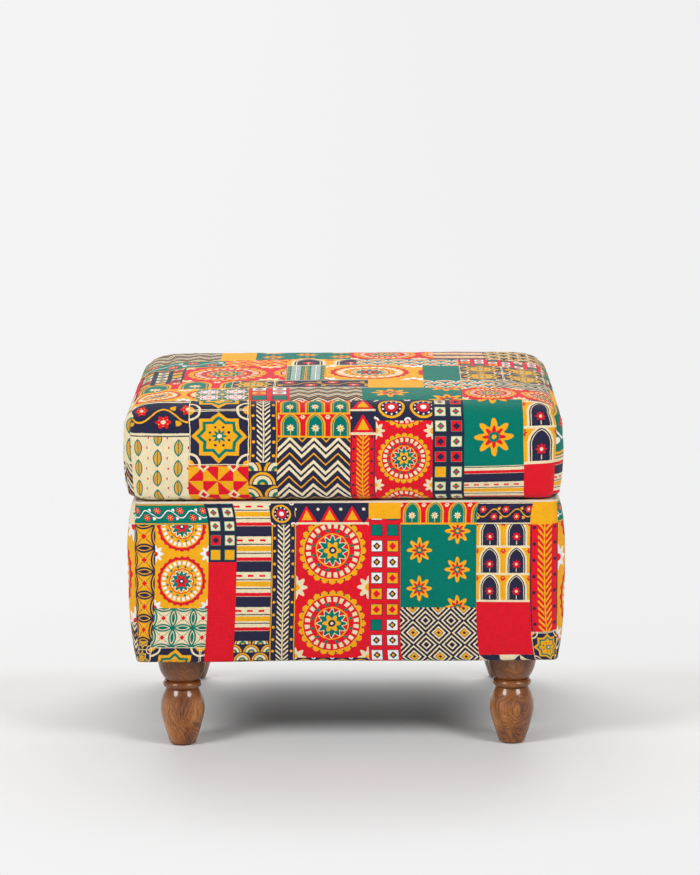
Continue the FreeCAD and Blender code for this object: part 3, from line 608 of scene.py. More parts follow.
# Layouts of the patches. Strips stand side by side across, or lie one over another going up. Each strip has
# its share of the panel, and then its patches the other way, from the left or from the foot.
LAYOUTS = {
    "base_front": (
        "across",
        (8, (12, "navy_stars"), (28, "mustard_petals"), (7, "teal_vine")),
        (17, (10, "navy_stars"), (10, "cream_petals"), (20, "mustard_roundels"), (7, "teal_vine")),
        (9, (31, "red"), (16, "navy_checks")),
        (11, (12, "mustard_scales"), (35, "cream_stripes")),
        (8, (40, "navy_wheat"), (7, "navy_rings")),
        (24, (7, "navy_rings"), (33, "red_roundels"), (7, "navy_bunting")),
        (10, (41, "red_checks"), (6, "mustard")),
        (24, (20, "navy_diamonds"), (20, "teal_daisies"), (7, "red_arches")),
        (17, (8, "cream_pinwheels"), (13, "red"), (19, "mustard_arches"), (7, "navy_vine")),
        (11, (14, "navy_stars"), (26, "red_wheat"), (7, "mustard")),
    ),
    "base_rear": (
        "across",
        (16, (12, "teal_scales"), (28, "red_checks"), (7, "mustard")),
        (30, (18, "cream_petals"), (20, "teal_daisies"), (9, "red_zigzag")),
        (12, (36, "cream_stripes"), (11, "navy_rings")),
        (34, (8, "navy_vine"), (32, "mustard_roundels"), (7, "red")),
        (22, (24, "navy_diamonds"), (16, "red_arches"), (7, "teal")),
        (24, (10, "cream_pinwheels"), (25, "red_roundels"), (12, "navy_stars")),
    ),
    "base_left": (
        "across",
        (22, (22, "red_roundels"), (10, "cream_leaves"), (15, "navy_stars")),
        (12, (34, "navy_checks"), (13, "mustard")),
        (28, (12, "teal_vine"), (26, "mustard_arches"), (9, "red_zigzag")),
        (18, (26, "cream_stripes"), (21, "teal_stars")),
        (30, (16, "navy_zigzag"), (24, "mustard_roundels"), (7, "cream_daisies")),
    ),
    "base_right": (
        "across",
        (26, (12, "navy_stars"), (28, "mustard_roundels"), (7, "teal_vine")),
        (12, (30, "red_checks"), (17, "cream_pinwheels")),
        (24, (20, "navy_diamonds"), (18, "teal_daisies"), (9, "red")),
        (14, (34, "cream_stripes"), (13, "navy_rings")),
        (34, (10, "cream_petals"), (30, "red_roundels"), (7, "mustard_scales")),
    ),
    "lid_front": (
        "across",
        (20, (19, "cream_leaves"), (11, "navy_vine")),
        (20, (12, "red_pinwheels"), (18, "navy_stars")),
        (10, (13, "mustard_scales"), (17, "navy_wheat")),
        (24, (19, "navy_zigzag"), (11, "red_arches")),
        (9, (20, "red_wheat"), (10, "navy_bunting")),
        (19, (23, "red_roundels"), (7, "navy_rings")),
        (10, (30, "navy_checks")),
        (20, (12, "cream_stripes"), (18, "teal_daisies")),
        (12, (12, "red"), (18, "mustard_arches")),
    ),
    "lid_top": (
        "up",
        (20, (22, "mustard_roundels"), (18, "teal_stars"), (14, "red_checks"),
         (24, "navy_zigzag"), (34, "teal_daisies"), (32, "red_roundels")),
        (16, (34, "red_arches"), (16, "navy_stars"), (30, "navy_vine"),
         (20, "mustard"), (24, "teal_scales"), (20, "navy_diamonds")),
        (32, (16, "navy_checks"), (36, "red_roundels"), (14, "teal_wheat"),
         (34, "mustard_roundels"), (12, "teal"), (32, "navy_stars")),
        (16, (30, "teal_vine"), (22, "red_pinwheels"), (24, "mustard_arches"),
         (36, "teal_scales"), (32, "red_checks")),
        (26, (28, "navy_zigzag"), (12, "mustard"), (34, "teal_daisies"),
         (30, "red_roundels"), (18, "cream_stripes"), (22, "mustard_scales")),
    ),
    "lid_rear": (
        "across",
        (26, (20, "mustard_arches"), (10, "red_zigzag")),
        (20, (30, "cream_petals")),
        (28, (8, "navy_rings"), (22, "red_roundels")),
        (14, (30, "cream_stripes")),
        (30, (18, "teal_daisies"), (12, "navy_stars")),
        (26, (24, "navy_diamonds"), (6, "red")),
    ),
    "lid_left": (
        "across",
        (24, (12, "red_checks"), (22, "teal_vine")),
        (20, (34, "navy_stars")),
        (30, (24, "mustard_roundels"), (10, "red")),
        (18, (34, "cream_stripes")),
        (24, (16, "navy_zigzag"), (18, "cream_leaves")),
    ),
    "lid_right": (
        "across",
        (20, (18, "cream_stripes"), (16, "teal_vine")),
        (26, (24, "red_roundels"), (10, "mustard")),
        (18, (34, "navy_checks")),
        (26, (14, "cream_petals"), (20, "teal_daisies")),
        (24, (20, "mustard_arches"), (14, "navy_stars")),
    ),
}


def divided(items, first, last):
    """What follows the share in each item, with the first and last cell of its share of a run of cells."""
    whole = sum(item[0] for item in items)
    done = 0
    for share, *rest in items:
        start, end = done / whole, (done + share) / whole
        done += share
        yield rest, round(first + start * (last - first)), round(first + end * (last - first))


def patches(layout, columns, first, last):
    """Each patch of a layout as (print, left, low, right, high), in whole cells of the grid."""
    way, *strips = LAYOUTS[layout]
    found = []
    if way == "across":
        for strip, left, right in divided(strips, 0, columns):
            found += [(name, left, low, right, high) for (name,), low, high in divided(strip, first, last)]
    else:
        for strip, low, high in divided(strips, first, last):
            found += [(name, left, low, right, high) for (name,), left, right in divided(strip, 0, columns)]
    return found


# Mesh helpers. A vector times FLAT has no height.

FLAT = np.array([1, 1, 0])


def placed(name, data):
    """A new object of a mesh, a light or a camera, put in the scene."""
    thing = bpy.data.objects.new(name, data)
    bpy.context.scene.collection.objects.link(thing)
    return thing


def stand_in(name, mesh, body, node):
    """A smooth piece that rides on a body, in place of a node."""
    mesh.validate()
    mesh.shade_smooth()
    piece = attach(placed(name, mesh), body)
    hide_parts(node)
    return piece


def grid_faces(rows, columns, closed=False):
    """Quads of a grid of points; a closed grid joins its last column to its first."""
    row, column = np.mgrid[:rows - 1, :columns if closed else columns - 1]
    after = (column + 1) % columns
    low, high = row * columns, (row + 1) * columns
    return np.stack([low + column, low + after, high + after, high + column], axis=-1).reshape(-1, 4)


def mesh_of(name, points, faces, material=None):
    """A mesh of an array of points and an array of quads, or of a list of faces, and its material."""
    mesh = bpy.data.meshes.new(name)
    places = np.asarray(points).reshape(-1, 3).tolist()
    mesh.from_pydata(places, [], [list(map(int, face)) for face in faces])
    if material:
        mesh.materials.append(material)
    return mesh


def set_uv(mesh, name, places):
    """A UV map with one place for each point of the mesh."""
    layer = mesh.uv_layers.new(name=name)
    corners = np.zeros(len(mesh.loops), dtype=np.int64)
    mesh.loops.foreach_get("vertex_index", corners)
    layer.data.foreach_set("uv", np.asarray(places, dtype=np.float32).reshape(-1, 2)[corners].ravel())


def lengths(points):
    """Distance along the rows and along the columns of a grid of points, at its widest."""
    down = np.linalg.norm(np.diff(points, axis=0), axis=2).max(axis=1)
    along = np.linalg.norm(np.diff(points, axis=1), axis=2).max(axis=0)
    return np.concatenate([[0], np.cumsum(down)]), np.concatenate([[0], np.cumsum(along)])


def cloth_places(along, down):
    """The cloth's UV places, in metres, from the distances along it and down it."""
    return np.stack(np.broadcast_arrays(along[None, :], down[:, None]), axis=-1)


def printed_panel(name, points, layouts, body, node):
    """A sewn panel of the cover: a grid of points, and layouts as (layout, first row, last row)."""
    rows, columns = points.shape[:2]
    down, along = lengths(points)
    cloth = cloth_places(along, down)
    mesh = mesh_of(name, points, grid_faces(rows, columns))
    set_uv(mesh, "cloth", cloth)
    tile_layer = mesh.uv_layers.new(name="tile")
    tile = np.zeros((rows - 1, columns - 1, 4, 2), dtype=np.float32)
    slots = np.zeros((rows - 1, columns - 1), dtype=np.int32)
    for layout, first, last in layouts:
        for print_name, left, low, right, high in patches(layout, columns - 1, first, last):
            material = print_material(print_name)
            if material.name not in mesh.materials:
                mesh.materials.append(material)
            short = min(along[right] - along[left], down[high] - down[low])
            tile_size = short / max(1, round(short / PRINTS[print_name][2]))
            row, column = np.mgrid[low:high, left:right]
            corner_row = row[..., None] + np.array([0, 0, 1, 1])
            corner_column = column[..., None] + np.array([0, 1, 1, 0])
            tile[low:high, left:right, :, 0] = (along[corner_column] - along[left]) / tile_size
            tile[low:high, left:right, :, 1] = (down[corner_row] - down[low]) / tile_size
            slots[low:high, left:right] = mesh.materials.find(material.name)
    tile_layer.data.foreach_set("uv", tile.ravel())
    mesh.polygons.foreach_set("material_index", slots.ravel())
    set_uv(mesh, "OFBake", cloth / cloth[-1, -1])
    panel = stand_in(name, mesh, body, node)


def roughness(points, waves, seed):
    """Smooth noise at each point of an array, between -1 and 1, with a number of waves to the metre."""
    flat = points.reshape(-1, 3) * waves + seed
    values = [noise.noise(Vector(point)) for point in flat]
    return np.array(values).reshape(points.shape[:-1])


def unit(vectors):
    """Vectors of length one."""
    return vectors / np.linalg.norm(vectors, axis=-1, keepdims=True)


def smooth(share):
    """A share from 0 to 1, eased at both ends."""
    share = np.clip(share, 0, 1)
    return share * share * (3 - 2 * share)


def spaced(length):
    """Even places along a length, about a step apart, in an odd number."""
    return np.linspace(0, length, 2 * round(length / STEP / 2) + 1)


# Panels of a cover. sewn and held say, from 0 to 1, how much of a seam a point is and how firmly it is held.

Panel = namedtuple("Panel", "points normals details sewn held")

SLANT, SLANT_WAVES, SLANT_DEPTH = 0.0035, 5, 0.8
SEAM_DIP, SEAM_REACH, SEAM_WIDTH = 0.0011, 0.004, 3 * STEP
PUCKER, PUCKER_REACH, PUCKER_WAVES = 0.0006, 0.016, 95
LUMPS, LUMP_WAVES, SMALL_LUMP_WAVES = 0.0005, 14, 42


def from_edges(share):
    """A share that is 0 at both ends of a run, and eases to 1 a quarter of the way in."""
    return smooth(4 * np.minimum(share, 1 - share))


def slanted(across, up):
    """A grid of places whose lines run a little askew and wavy in the middle, and true at the edges."""
    wide, high = np.meshgrid(across, up)
    share_across = (wide - across[0]) / (across[-1] - across[0])
    share_up = (high - up[0]) / (up[-1] - up[0])
    inside = from_edges(share_across) * from_edges(share_up)
    places = np.stack([wide, high, np.full_like(wide, SLANT_DEPTH)], axis=-1)
    lean = SLANT * (share_up - 0.5) + 0.5 * SLANT * roughness(places, SLANT_WAVES, seed=1.5)
    climb = SLANT * (0.5 - share_across) + 0.5 * SLANT * roughness(places, SLANT_WAVES, seed=7.5)
    return wide + lean * inside, high + climb * inside


def seam_detail(points, normals, away):
    """Offsets for a seam's dip and puckers, and for the softly uneven padding, with away from the seam."""
    dip = SEAM_DIP * np.exp(-((away / SEAM_REACH) ** 2))
    pucker = PUCKER * np.exp(-away / PUCKER_REACH) * roughness(points, PUCKER_WAVES, seed=3.0)
    small = 0.5 * roughness(points, SMALL_LUMP_WAVES, seed=5.0)
    lumps = LUMPS * (roughness(points, LUMP_WAVES, seed=8.0) + small)
    return (lumps + pucker - dip)[..., None] * normals


def sewn_share(away):
    """How much of a seam each point is, with away from the seam."""
    return np.clip(1 - away / SEAM_WIDTH, 0, 1)


def folded(panel, half_x, half_y):
    """A panel with rows, held fast, that turn its first row under to lie flat under a board's edges."""
    under = np.repeat(panel.points[:1], len(FOLD_SHARES), axis=0)
    for row, share in zip(under, FOLD_SHARES):
        for axis, half in enumerate((half_x, half_y)):
            row[:, axis] = np.clip(row[:, axis], FOLD * share - half, half - FOLD * share)
    arrays = [np.concatenate([under, panel.points])]
    for array, value in zip(panel[1:], (0.0, 0.0, 0.0, 1.0)):
        arrays.append(np.concatenate([np.full((len(under), *array.shape[1:]), value), array]))
    return Panel(*arrays)


# Cloth simulation of a cover: its panels sewn together, blown up a little, and eased back

SIM_FRAMES = 12
SIM_STRIDE = 2
SIM_QUALITY = 5
SIM_PRESSURE = 4
SEAM_SHRINK = 0.02
PRESS_IN = 0.0004
WELD_DIGITS = 5


def spread_out(coarse, rows, columns):
    """A coarse grid of vectors, filled in between its points to a full grid."""
    full = coarse
    for axis, count in enumerate((rows, columns)):
        known = np.arange(0, count, SIM_STRIDE)
        full = np.apply_along_axis(lambda line: np.interp(np.arange(count), known, line), axis, full)
    return full


def simulate(points, faces, weights):
    """Where the points of a sewn cover lie after a short cloth simulation."""
    cover = placed("cover", mesh_of("cover", points, faces))
    for name, values in weights.items():
        group = cover.vertex_groups.new(name=name)
        for index in np.nonzero(values)[0]:
            group.add([int(index)], float(values[index]), "REPLACE")
    cloth = cover.modifiers.new("cloth", "CLOTH")
    cloth.collision_settings.use_collision = False
    cloth.settings.quality = SIM_QUALITY
    cloth.settings.use_pressure = True
    cloth.settings.uniform_pressure_force = SIM_PRESSURE
    cloth.settings.vertex_group_mass = "held"
    cloth.settings.vertex_group_shrink = "sewn"
    cloth.settings.shrink_min = 0.0
    cloth.settings.shrink_max = SEAM_SHRINK
    cloth.settings.effector_weights.gravity = 0
    for number in range(1, SIM_FRAMES + 1):
        bpy.context.scene.frame_set(number)
    settled = cover.evaluated_get(bpy.context.evaluated_depsgraph_get()).data
    moved = np.zeros(len(points) * 3)
    settled.vertices.foreach_get("co", moved)
    bpy.data.objects.remove(cover)
    bpy.context.scene.frame_set(1)
    return moved.reshape(-1, 3)


def settle(panels, cap):
    """The points of a cover's panels, moved as the simulation moves them, up to a cap.

    The foam under the cloth lets it press in only a little.
    """
    thin = [Panel(*(array[::SIM_STRIDE, ::SIM_STRIDE] for array in panel)) for panel in panels]
    every = np.concatenate([panel.points.reshape(-1, 3) for panel in thin])
    rounded = np.round(every, WELD_DIGITS)
    _, first, place = np.unique(rounded, axis=0, return_index=True, return_inverse=True)
    place = place.reshape(-1)
    starts = np.cumsum([0] + [panel.held.size for panel in thin])
    faces = [place[grid_faces(*panel.held.shape) + start] for panel, start in zip(thin, starts)]
    weights = {}
    for name in ("held", "sewn"):
        weights[name] = np.concatenate([getattr(panel, name).ravel() for panel in thin])[first]
    moves = simulate(every[first], np.concatenate(faces), weights) - every[first]
    far = np.linalg.norm(moves, axis=1, keepdims=True)
    moves = moves * cap * np.tanh(far / cap) / np.maximum(far, TINY)
    settled = []
    for panel, small, start in zip(panels, thin, starts):
        own = moves[place[start:start + small.held.size]].reshape(small.points.shape)
        own = spread_out(own, *panel.held.shape)
        sunk = np.maximum(-PRESS_IN - (own * panel.normals).sum(axis=-1, keepdims=True), 0)
        settled.append(panel.points + own + sunk * panel.normals)
    return settled


# Lid cover: five faces of a rounded box, whose edges are the seams' lines. Half of each rounded edge, an
# eighth of a circle, belongs to each of the two faces that meet there.

LID_IN_X = HALF_X - LID_ROUND
LID_IN_Y = HALF_Y - LID_ROUND
LID_IN_Z = LID_TOP - LID_CROWN - LID_ROUND
EIGHTH = LID_ROUND * math.pi / 4
HELD_LIP = 0.0035
LID_CAP = 0.0035
PRINT_OVER = 6


def rolled(places, half):
    """Where places along a face lie on the inner box, and the slope of the roll there."""
    past = np.clip(np.abs(places) - half, 0, EIGHTH)
    return np.clip(places, -half, half), np.sign(places) * np.tan(past / LID_ROUND)


def lid_face(outward, across, up, across_way, up_way, half, low, high):
    """Points and normals of one face, and how far each is from its seams."""
    wide, tall = slanted(across, up)
    inner_across, slope_across = rolled(wide, half)
    middle_up, half_up = (low + high) / 2, (high - low) / 2
    inner_up, slope_up = rolled(tall - middle_up, half_up)
    if up_way[2]:
        slope_up = np.where(tall < middle_up, 0, slope_up)
        inner_up = np.where(tall < middle_up, tall - middle_up, inner_up)
    ways = [np.array(way, dtype=float) for way in (outward, across_way, up_way)]
    normals = unit(ways[0] + slope_across[..., None] * ways[1] + slope_up[..., None] * ways[2])
    points = (
        np.array([LID_IN_X, LID_IN_Y, LID_IN_Z]) * ways[0]
        + inner_across[..., None] * ways[1]
        + (inner_up + middle_up)[..., None] * ways[2]
        + LID_ROUND * normals
    )
    away = half + EIGHTH - np.abs(wide)
    if outward[0]:
        away = np.minimum(away, high + EIGHTH - tall)
    return points, normals, away


def lid_shift(x, y):
    """How far the lid's cloth sits to a side: it leans a little, and its left side runs askew."""
    return LID_SWAY * (y / HALF_Y) * smooth(-x / HALF_X) - LID_LEAN


def lid_form(points, normals):
    """The lid's own form: tapered and turned in at its foot, crowned on top, and leaning a little."""
    x, y, z = np.moveaxis(points, -1, 0)
    below = np.clip((LID_TAPER_TOP - z) / (LID_TAPER_TOP - LID_LOW), 0, 1)
    lip = np.clip((LID_LOW + LID_LIP - z) / LID_LIP, 0, 1)
    draw = LID_TAPER * below ** TAPER_CURVE + LID_LIP * (1 - np.sqrt(1 - lip ** 2))
    sideways = normals * FLAT
    sideways = sideways / np.maximum(np.linalg.norm(sideways, axis=-1, keepdims=True), TINY)
    formed = points - draw[..., None] * sideways
    crown = LID_CROWN * np.clip(1 - (x / HALF_X) ** 2, 0, 1) * np.clip(1 - (y / HALF_Y) ** 2, 0, 1)
    corner = LID_CORNER_DROP * (x / HALF_X) ** 4 * (y / HALF_Y) ** 4
    formed[..., 2] += (crown - corner) * np.clip(normals[..., 2], 0, 1)
    formed[..., 0] += lid_shift(x, y) * smooth((z - LID_LOW) / LID_LIP)
    return formed


def roll_to_roll(half):
    """Places along a face from seam to seam: half a roll, the flat stretch, and half a roll."""
    roll = spaced(EIGHTH) + half
    return np.concatenate([-roll[::-1], (spaced(2 * half) - half)[1:-1], roll])


X_WAY, Y_WAY, Z_WAY = (1, 0, 0), (0, 1, 0), (0, 0, 1)
WIDTH, DEPTH = roll_to_roll(LID_IN_X), roll_to_roll(LID_IN_Y)
HEIGHT = np.concatenate([(spaced(LID_IN_Z - LID_LOW) + LID_LOW)[:-1], spaced(EIGHTH) + LID_IN_Z])
LONG_FACE = (WIDTH, HEIGHT, X_WAY, Z_WAY, LID_IN_X, LID_LOW, LID_IN_Z)
SHORT_FACE = (DEPTH, HEIGHT, Y_WAY, Z_WAY, LID_IN_Y, LID_LOW, LID_IN_Z)
LID_FACES = {
    "front": ((0, -1, 0), *LONG_FACE),
    "rear": ((0, 1, 0), *LONG_FACE),
    "left": ((-1, 0, 0), *SHORT_FACE),
    "right": ((1, 0, 0), *SHORT_FACE),
    "top": ((0, 0, 1), WIDTH, DEPTH, X_WAY, Y_WAY, LID_IN_X, -LID_IN_Y, LID_IN_Y),
}


def lid_panel(name):
    """One face of the lid's cover as a panel; all but the top are turned under at the foot."""
    points, normals, away = lid_face(*LID_FACES[name])
    held = np.where(points[..., 2] < LID_LOW + HELD_LIP, 1.0, 0.0)
    details = seam_detail(points, normals, away)
    panel = Panel(lid_form(points, normals), normals, details, sewn_share(away), held)
    return panel if name == "top" else folded(panel, LID_BOARD.x, LID_BOARD.y)


def lid_cover():
    """The lid's cover: one piece over the front, the top and the rear, and two side pieces."""
    front, rear, left, right, top = (lid_panel(name) for name in LID_FACES)
    joined = []
    for fore, upper, back in zip(front, top, rear):
        joined.append(np.concatenate([fore, upper[1:-1], back[::-1]]))
    panels = [Panel(*joined), Panel(*(array[:, ::-1] for array in left)), right]
    front_last = len(front.points) - 1
    top_last = front_last + len(top.points) - 1
    top_start, top_end = front_last + PRINT_OVER, top_last - PRINT_OVER
    over = [("lid_front", 0, top_start), ("lid_top", top_start, top_end)]
    over.append(("lid_rear", top_end, top_last + front_last))
    layouts = {
        "lid_waterfall_panel": over,
        "lid_left_panel": [("lid_left", 0, front_last)],
        "lid_right_panel": [("lid_right", 0, front_last)],
    }
    for name, panel, points in zip(layouts, panels, settle(panels, LID_CAP)):
        shaped = points + panel.details
        shaped[..., 2] = np.maximum(shaped[..., 2], LID_LOW)
        printed_panel(name, shaped, layouts[name], "lid", "lid_cover")


lid_cover()

# Base cover: four walls of cloth, seamed at the corners. Each wall has its cloth's half length and how far
# out it lies, and the same of the board behind it.

LONG_WALL = (HALF_X, HALF_Y, BOARD_X, BOARD_Y)
SHORT_WALL = (HALF_Y, HALF_X, BOARD_Y, BOARD_X)
WALLS = {"front": LONG_WALL, "rear": LONG_WALL, "left": SHORT_WALL, "right": SHORT_WALL}
QUARTER_TURN = math.pi / 2
FOOT_STEPS, RIM_STEPS = 7, 15
FOOT_FREE, RIM_FREE, HELD_BELOW = 0.1, 0.06, 0.1
FOOT_WAVE, FOOT_WAVES, FOOT_LOWER, FOOT_WAVE_TOP = 0.0012, 9, 0.4, 0.15
BASE_CAP = 0.003


def base_rows():
    """Draw-in and level of each row of the base's cloth, from its foot to the band on its rim."""
    peak = RIM - RIM_ROLL
    foot_top = BASE_LOW + FOOT_ROUND
    rows = []
    for turn in np.linspace(0, QUARTER_TURN, FOOT_STEPS):
        rows.append((FOOT_DRAW + FOOT_ROUND * (1 - math.sin(turn)), foot_top - FOOT_ROUND * math.cos(turn)))
    for place in spaced(peak - foot_top)[1:]:
        share = place / (peak - foot_top)
        rows.append((FOOT_DRAW * (1 - share) ** FOOT_CURVE, foot_top + place))
    for turn in np.linspace(0, BAND_ANGLE, RIM_STEPS)[1:]:
        rows.append((RIM_DRAW * (1 - math.cos(turn)), peak + RIM_ROLL * math.sin(turn)))
    return np.array(rows)


def corner_radius(draw):
    """The radius of the base's upright corners, which is less where the cloth is drawn in."""
    return np.maximum(BASE_CORNER * (1 - draw / BASE_PAD), LEAST_CORNER)


def base_wall(half_along, half_out):
    """Points and normals of a wall, as along, out and level, and how far each is from its seams."""
    arc_length = BASE_CORNER * math.pi / 4
    straight_half = half_along - BASE_CORNER
    arc = spaced(arc_length) / arc_length + 1
    straight = spaced(2 * straight_half) / straight_half - 1
    places = np.concatenate([-arc[::-1], straight[1:-1], arc])
    table = base_rows()
    numbers = np.arange(len(table))
    wide, tall = slanted(places * straight_half, numbers * STEP)
    place, number = wide / straight_half, tall / STEP
    draw = np.interp(number, numbers, table[:, 0])
    level = np.interp(number, numbers, table[:, 1])
    radius = corner_radius(draw)
    side, far = np.sign(place), np.abs(place)
    angle = np.clip(far - 1, 0, 1) * math.pi / 4
    along = np.minimum(far, 1) * (half_along - draw - radius) + radius * np.sin(angle)
    out = half_out - draw - radius + radius * np.cos(angle)
    points = np.stack([side * along, out, level], axis=-1)
    normals = np.stack([side * np.sin(angle), np.cos(angle), np.zeros_like(angle)], axis=-1)
    away = np.where(far < 1, arc_length + (1 - far) * straight_half, (2 - far) * arc_length)
    return points, normals, away


def turned(vectors, facing):
    """Vectors given as along, out and level, turned to face a side of the base."""
    along, out, level = np.moveaxis(vectors, -1, 0)
    ways = {"front": (along, -out), "rear": (-along, out), "left": (-out, -along), "right": (out, along)}
    return np.stack([*ways[facing], level], axis=-1)


def base_panel(facing):
    """One wall of the base's cover as a panel, turned under at the foot, where it waves a little."""
    half_along, half_out, _, _ = WALLS[facing]
    points, normals, away = base_wall(half_along, half_out)
    points, normals = turned(points, facing), turned(normals, facing)
    share = (points[..., 2] - BASE_LOW) / (RIM - BASE_LOW)
    free = smooth(share / FOOT_FREE) * smooth((1 - share) / RIM_FREE)
    wave = roughness(points * FLAT, FOOT_WAVES, seed=2.5) - FOOT_LOWER
    points[..., 2] += FOOT_WAVE * wave * smooth(1 - share / FOOT_WAVE_TOP)
    details = free[..., None] * seam_detail(points, normals, away)
    held = np.where(free < HELD_BELOW, 1.0, 0.0)
    return folded(Panel(points, normals, details, sewn_share(away), held), BOARD_X, BOARD_Y)


def base_cover():
    """The base's cover: four walls sewn together."""
    panels = [base_panel(facing) for facing in WALLS]
    for facing, panel, points in zip(WALLS, panels, settle(panels, BASE_CAP)):
        layouts = [(f"base_{facing}", 0, len(points) - 1)]
        printed_panel(f"base_{facing}_panel", points + panel.details, layouts, "base", "base_cover")


base_cover()

# Loops: closed rows round the object, for the rim band, the lining and the foam

SIDE_COUNT = 48
ARC_COUNT = 8
CORNERS = ((1, -1), (1, 1), (-1, 1), (-1, -1))


def closed_loop(corners, level):
    """A closed row of points at one level, through each corner's points and along the sides between."""
    points = []
    for corner, following in zip(corners, corners[1:] + corners[:1]):
        points += [*corner, *np.linspace(corner[-1], following[0], SIDE_COUNT + 1)[1:-1]]
    return np.column_stack([points, np.full(len(points), level)])


def loop(half_x, half_y, radius, level):
    """A rounded rectangle of points, anticlockwise from the right end of the front edge."""
    corners = []
    for quarter, (sign_x, sign_y) in enumerate(CORNERS):
        angles = np.linspace(quarter - 1, quarter, ARC_COUNT + 1) * QUARTER_TURN
        corner_x = sign_x * (half_x - radius) + radius * np.cos(angles)
        corner_y = sign_y * (half_y - radius) + radius * np.sin(angles)
        corners.append(np.column_stack([corner_x, corner_y]))
    return closed_loop(corners, level)


def well_loop(inset, level):
    """The storage well's outline, with its corners cut off, in as many points as a rounded rectangle."""
    half_x, half_y = INNER_X - inset, INNER_Y - inset
    chamfer = WELL_CHAMFER - inset * (2 - math.sqrt(2))
    corners = []
    for sign_x, sign_y in CORNERS:
        on_long = (sign_x * (half_x - chamfer), sign_y * half_y)
        on_short = (sign_x * half_x, sign_y * (half_y - chamfer))
        ends = (on_short, on_long) if sign_x == sign_y else (on_long, on_short)
        corners.append(np.linspace(*ends, ARC_COUNT + 1))
    return closed_loop(corners, level)


def looped(name, loops, material, caps=(False, False)):
    """A mesh through closed loops, capped at its first or last loop where asked, and its flat size."""
    rows = np.array(loops)
    count = rows.shape[1]
    faces = grid_faces(len(rows), count, closed=True).tolist()
    if caps[0]:
        faces.append(list(range(count))[::-1])
    if caps[1]:
        faces.append(list(range((len(rows) - 1) * count, len(rows) * count)))
    mesh = mesh_of(name, rows, faces, material)
    ringed = np.concatenate([rows, rows[:, :1]], axis=1)
    down, along = lengths(ringed)
    set_uv(mesh, "cloth", cloth_places(along[:-1], down))
    around = np.linalg.norm(np.diff(ringed, axis=1), axis=2).sum(axis=1).mean()
    over = np.linalg.norm(np.diff(rows, axis=0), axis=2).sum(axis=0).min()
    return mesh, (float(around), float(over))


# Plain cloths

PATCHY = (9, 9, 1)
PATCHY_DARK = 0.88


def plain_cloth(name, colour, sheen=0.1, threads=THREADS):
    """Plain woven cotton of one colour, a little uneven."""

    def colour_of(tree):
        patchy = noise_value(tree, uv_place(tree, "cloth"), PATCHY, 4)
        return mix(tree, patchy, darker(colour, PATCHY_DARK), colour)

    return cloth_material(name, colour_of, sheen, threads)


lining_cotton = plain_cloth("lining_cotton", srgb(229, 216, 188))
band_cotton = plain_cloth("band_cotton", srgb(240, 228, 204))
dust_cloth = plain_cloth("dust_cloth", srgb(38, 38, 40), sheen=0.05, threads=900)

# Rim band. Its soft lip is given as how far it is drawn in and how high it stands over the band, with none
# at the hinges. Its way down into the well is given as inset and depth.

BAND_LOW = RIM - 0.0006
BAND_LIP = ((0.0076, 0.0001), (0.0088, 0.0008), (0.0101, 0.001), (0.0115, 0.0007), (0.0131, 0.0001))
LIP_END, LIP_FADE = 0.2, 0.06
BAND_SHARES, BAND_CROWN = (0.3, 0.5, 0.7, 0.88), 0.0004
BAND_DOWN = ((0.6 * CLOTH, 0.0012), (CLOTH, 0.004), (CLOTH, 0.02))


def base_loop(draw, level):
    """A loop round the base, drawn in from its sides."""
    return loop(HALF_X - draw, HALF_Y - draw, corner_radius(draw), level)


def rim_band():
    """The plain band over the rim, from the base's cloth to the well."""
    edge_draw = RIM_DRAW * (1 - math.cos(BAND_ANGLE))
    loops = [base_loop(edge_draw, RIM - RIM_ROLL * (1 - math.sin(BAND_ANGLE)))]
    for draw, height in BAND_LIP:
        row = base_loop(draw, BAND_LOW)
        row[:, 2] += height * smooth((LIP_END - row[:, 1]) / LIP_FADE)
        loops.append(row)
    outer, inner = base_loop(RIM_DRAW, BAND_LOW), well_loop(0.0, BAND_LOW)
    for share in BAND_SHARES:
        row = outer + share * (inner - outer)
        row[:, 2] = BAND_LOW + BAND_CROWN * math.sin(math.pi * share)
        loops.append(row)
    loops += [well_loop(inset, RIM - depth) for inset, depth in BAND_DOWN]
    mesh, flat = looped("rim_band", loops, band_cotton)
    band = stand_in("rim_band", mesh, "base", "base_cover")


rim_band()

# Lining of the well: walls and floor, a little slack

LINING_INSET, LINING_ROUND, LINING_FLOOR = 2 * CLOTH, 0.006, LINING_LOW + 0.001
HEM, HEM_DEPTH, HEM_END = 0.0006, 0.003, 0.012
WALL_ROWS, FLOOR_ROWS, FLOOR_END = 26, 34, 0.985
WALL_SLACK, WALL_WAVES, WALL_FADE = 0.0016, (26, 26, 7.8), 0.01
FLOOR_SLACK, FLOOR_WAVES, FLOOR_FADE = 0.0008, 22, 0.001


def lining_rows():
    """The lining's loops, from its hem down the walls and in over the floor, drawn tight."""
    loops = [well_loop(LINING_INSET, LINING_TOP), well_loop(LINING_INSET + HEM, LINING_TOP - HEM_DEPTH)]
    for level in np.linspace(LINING_TOP - HEM_END, LINING_FLOOR + LINING_ROUND, WALL_ROWS):
        loops.append(well_loop(LINING_INSET, level))
    for turn in np.radians((30, 60, 90)):
        inset = LINING_INSET + LINING_ROUND * (1 - math.cos(turn))
        loops.append(well_loop(inset, LINING_FLOOR + LINING_ROUND * (1 - math.sin(turn))))
    edge = loops[-1]
    for share in np.linspace(0, FLOOR_END, FLOOR_ROWS)[1:]:
        row = edge * (1 - share)
        row[:, 2] = LINING_FLOOR
        loops.append(row)
    return np.array(loops)


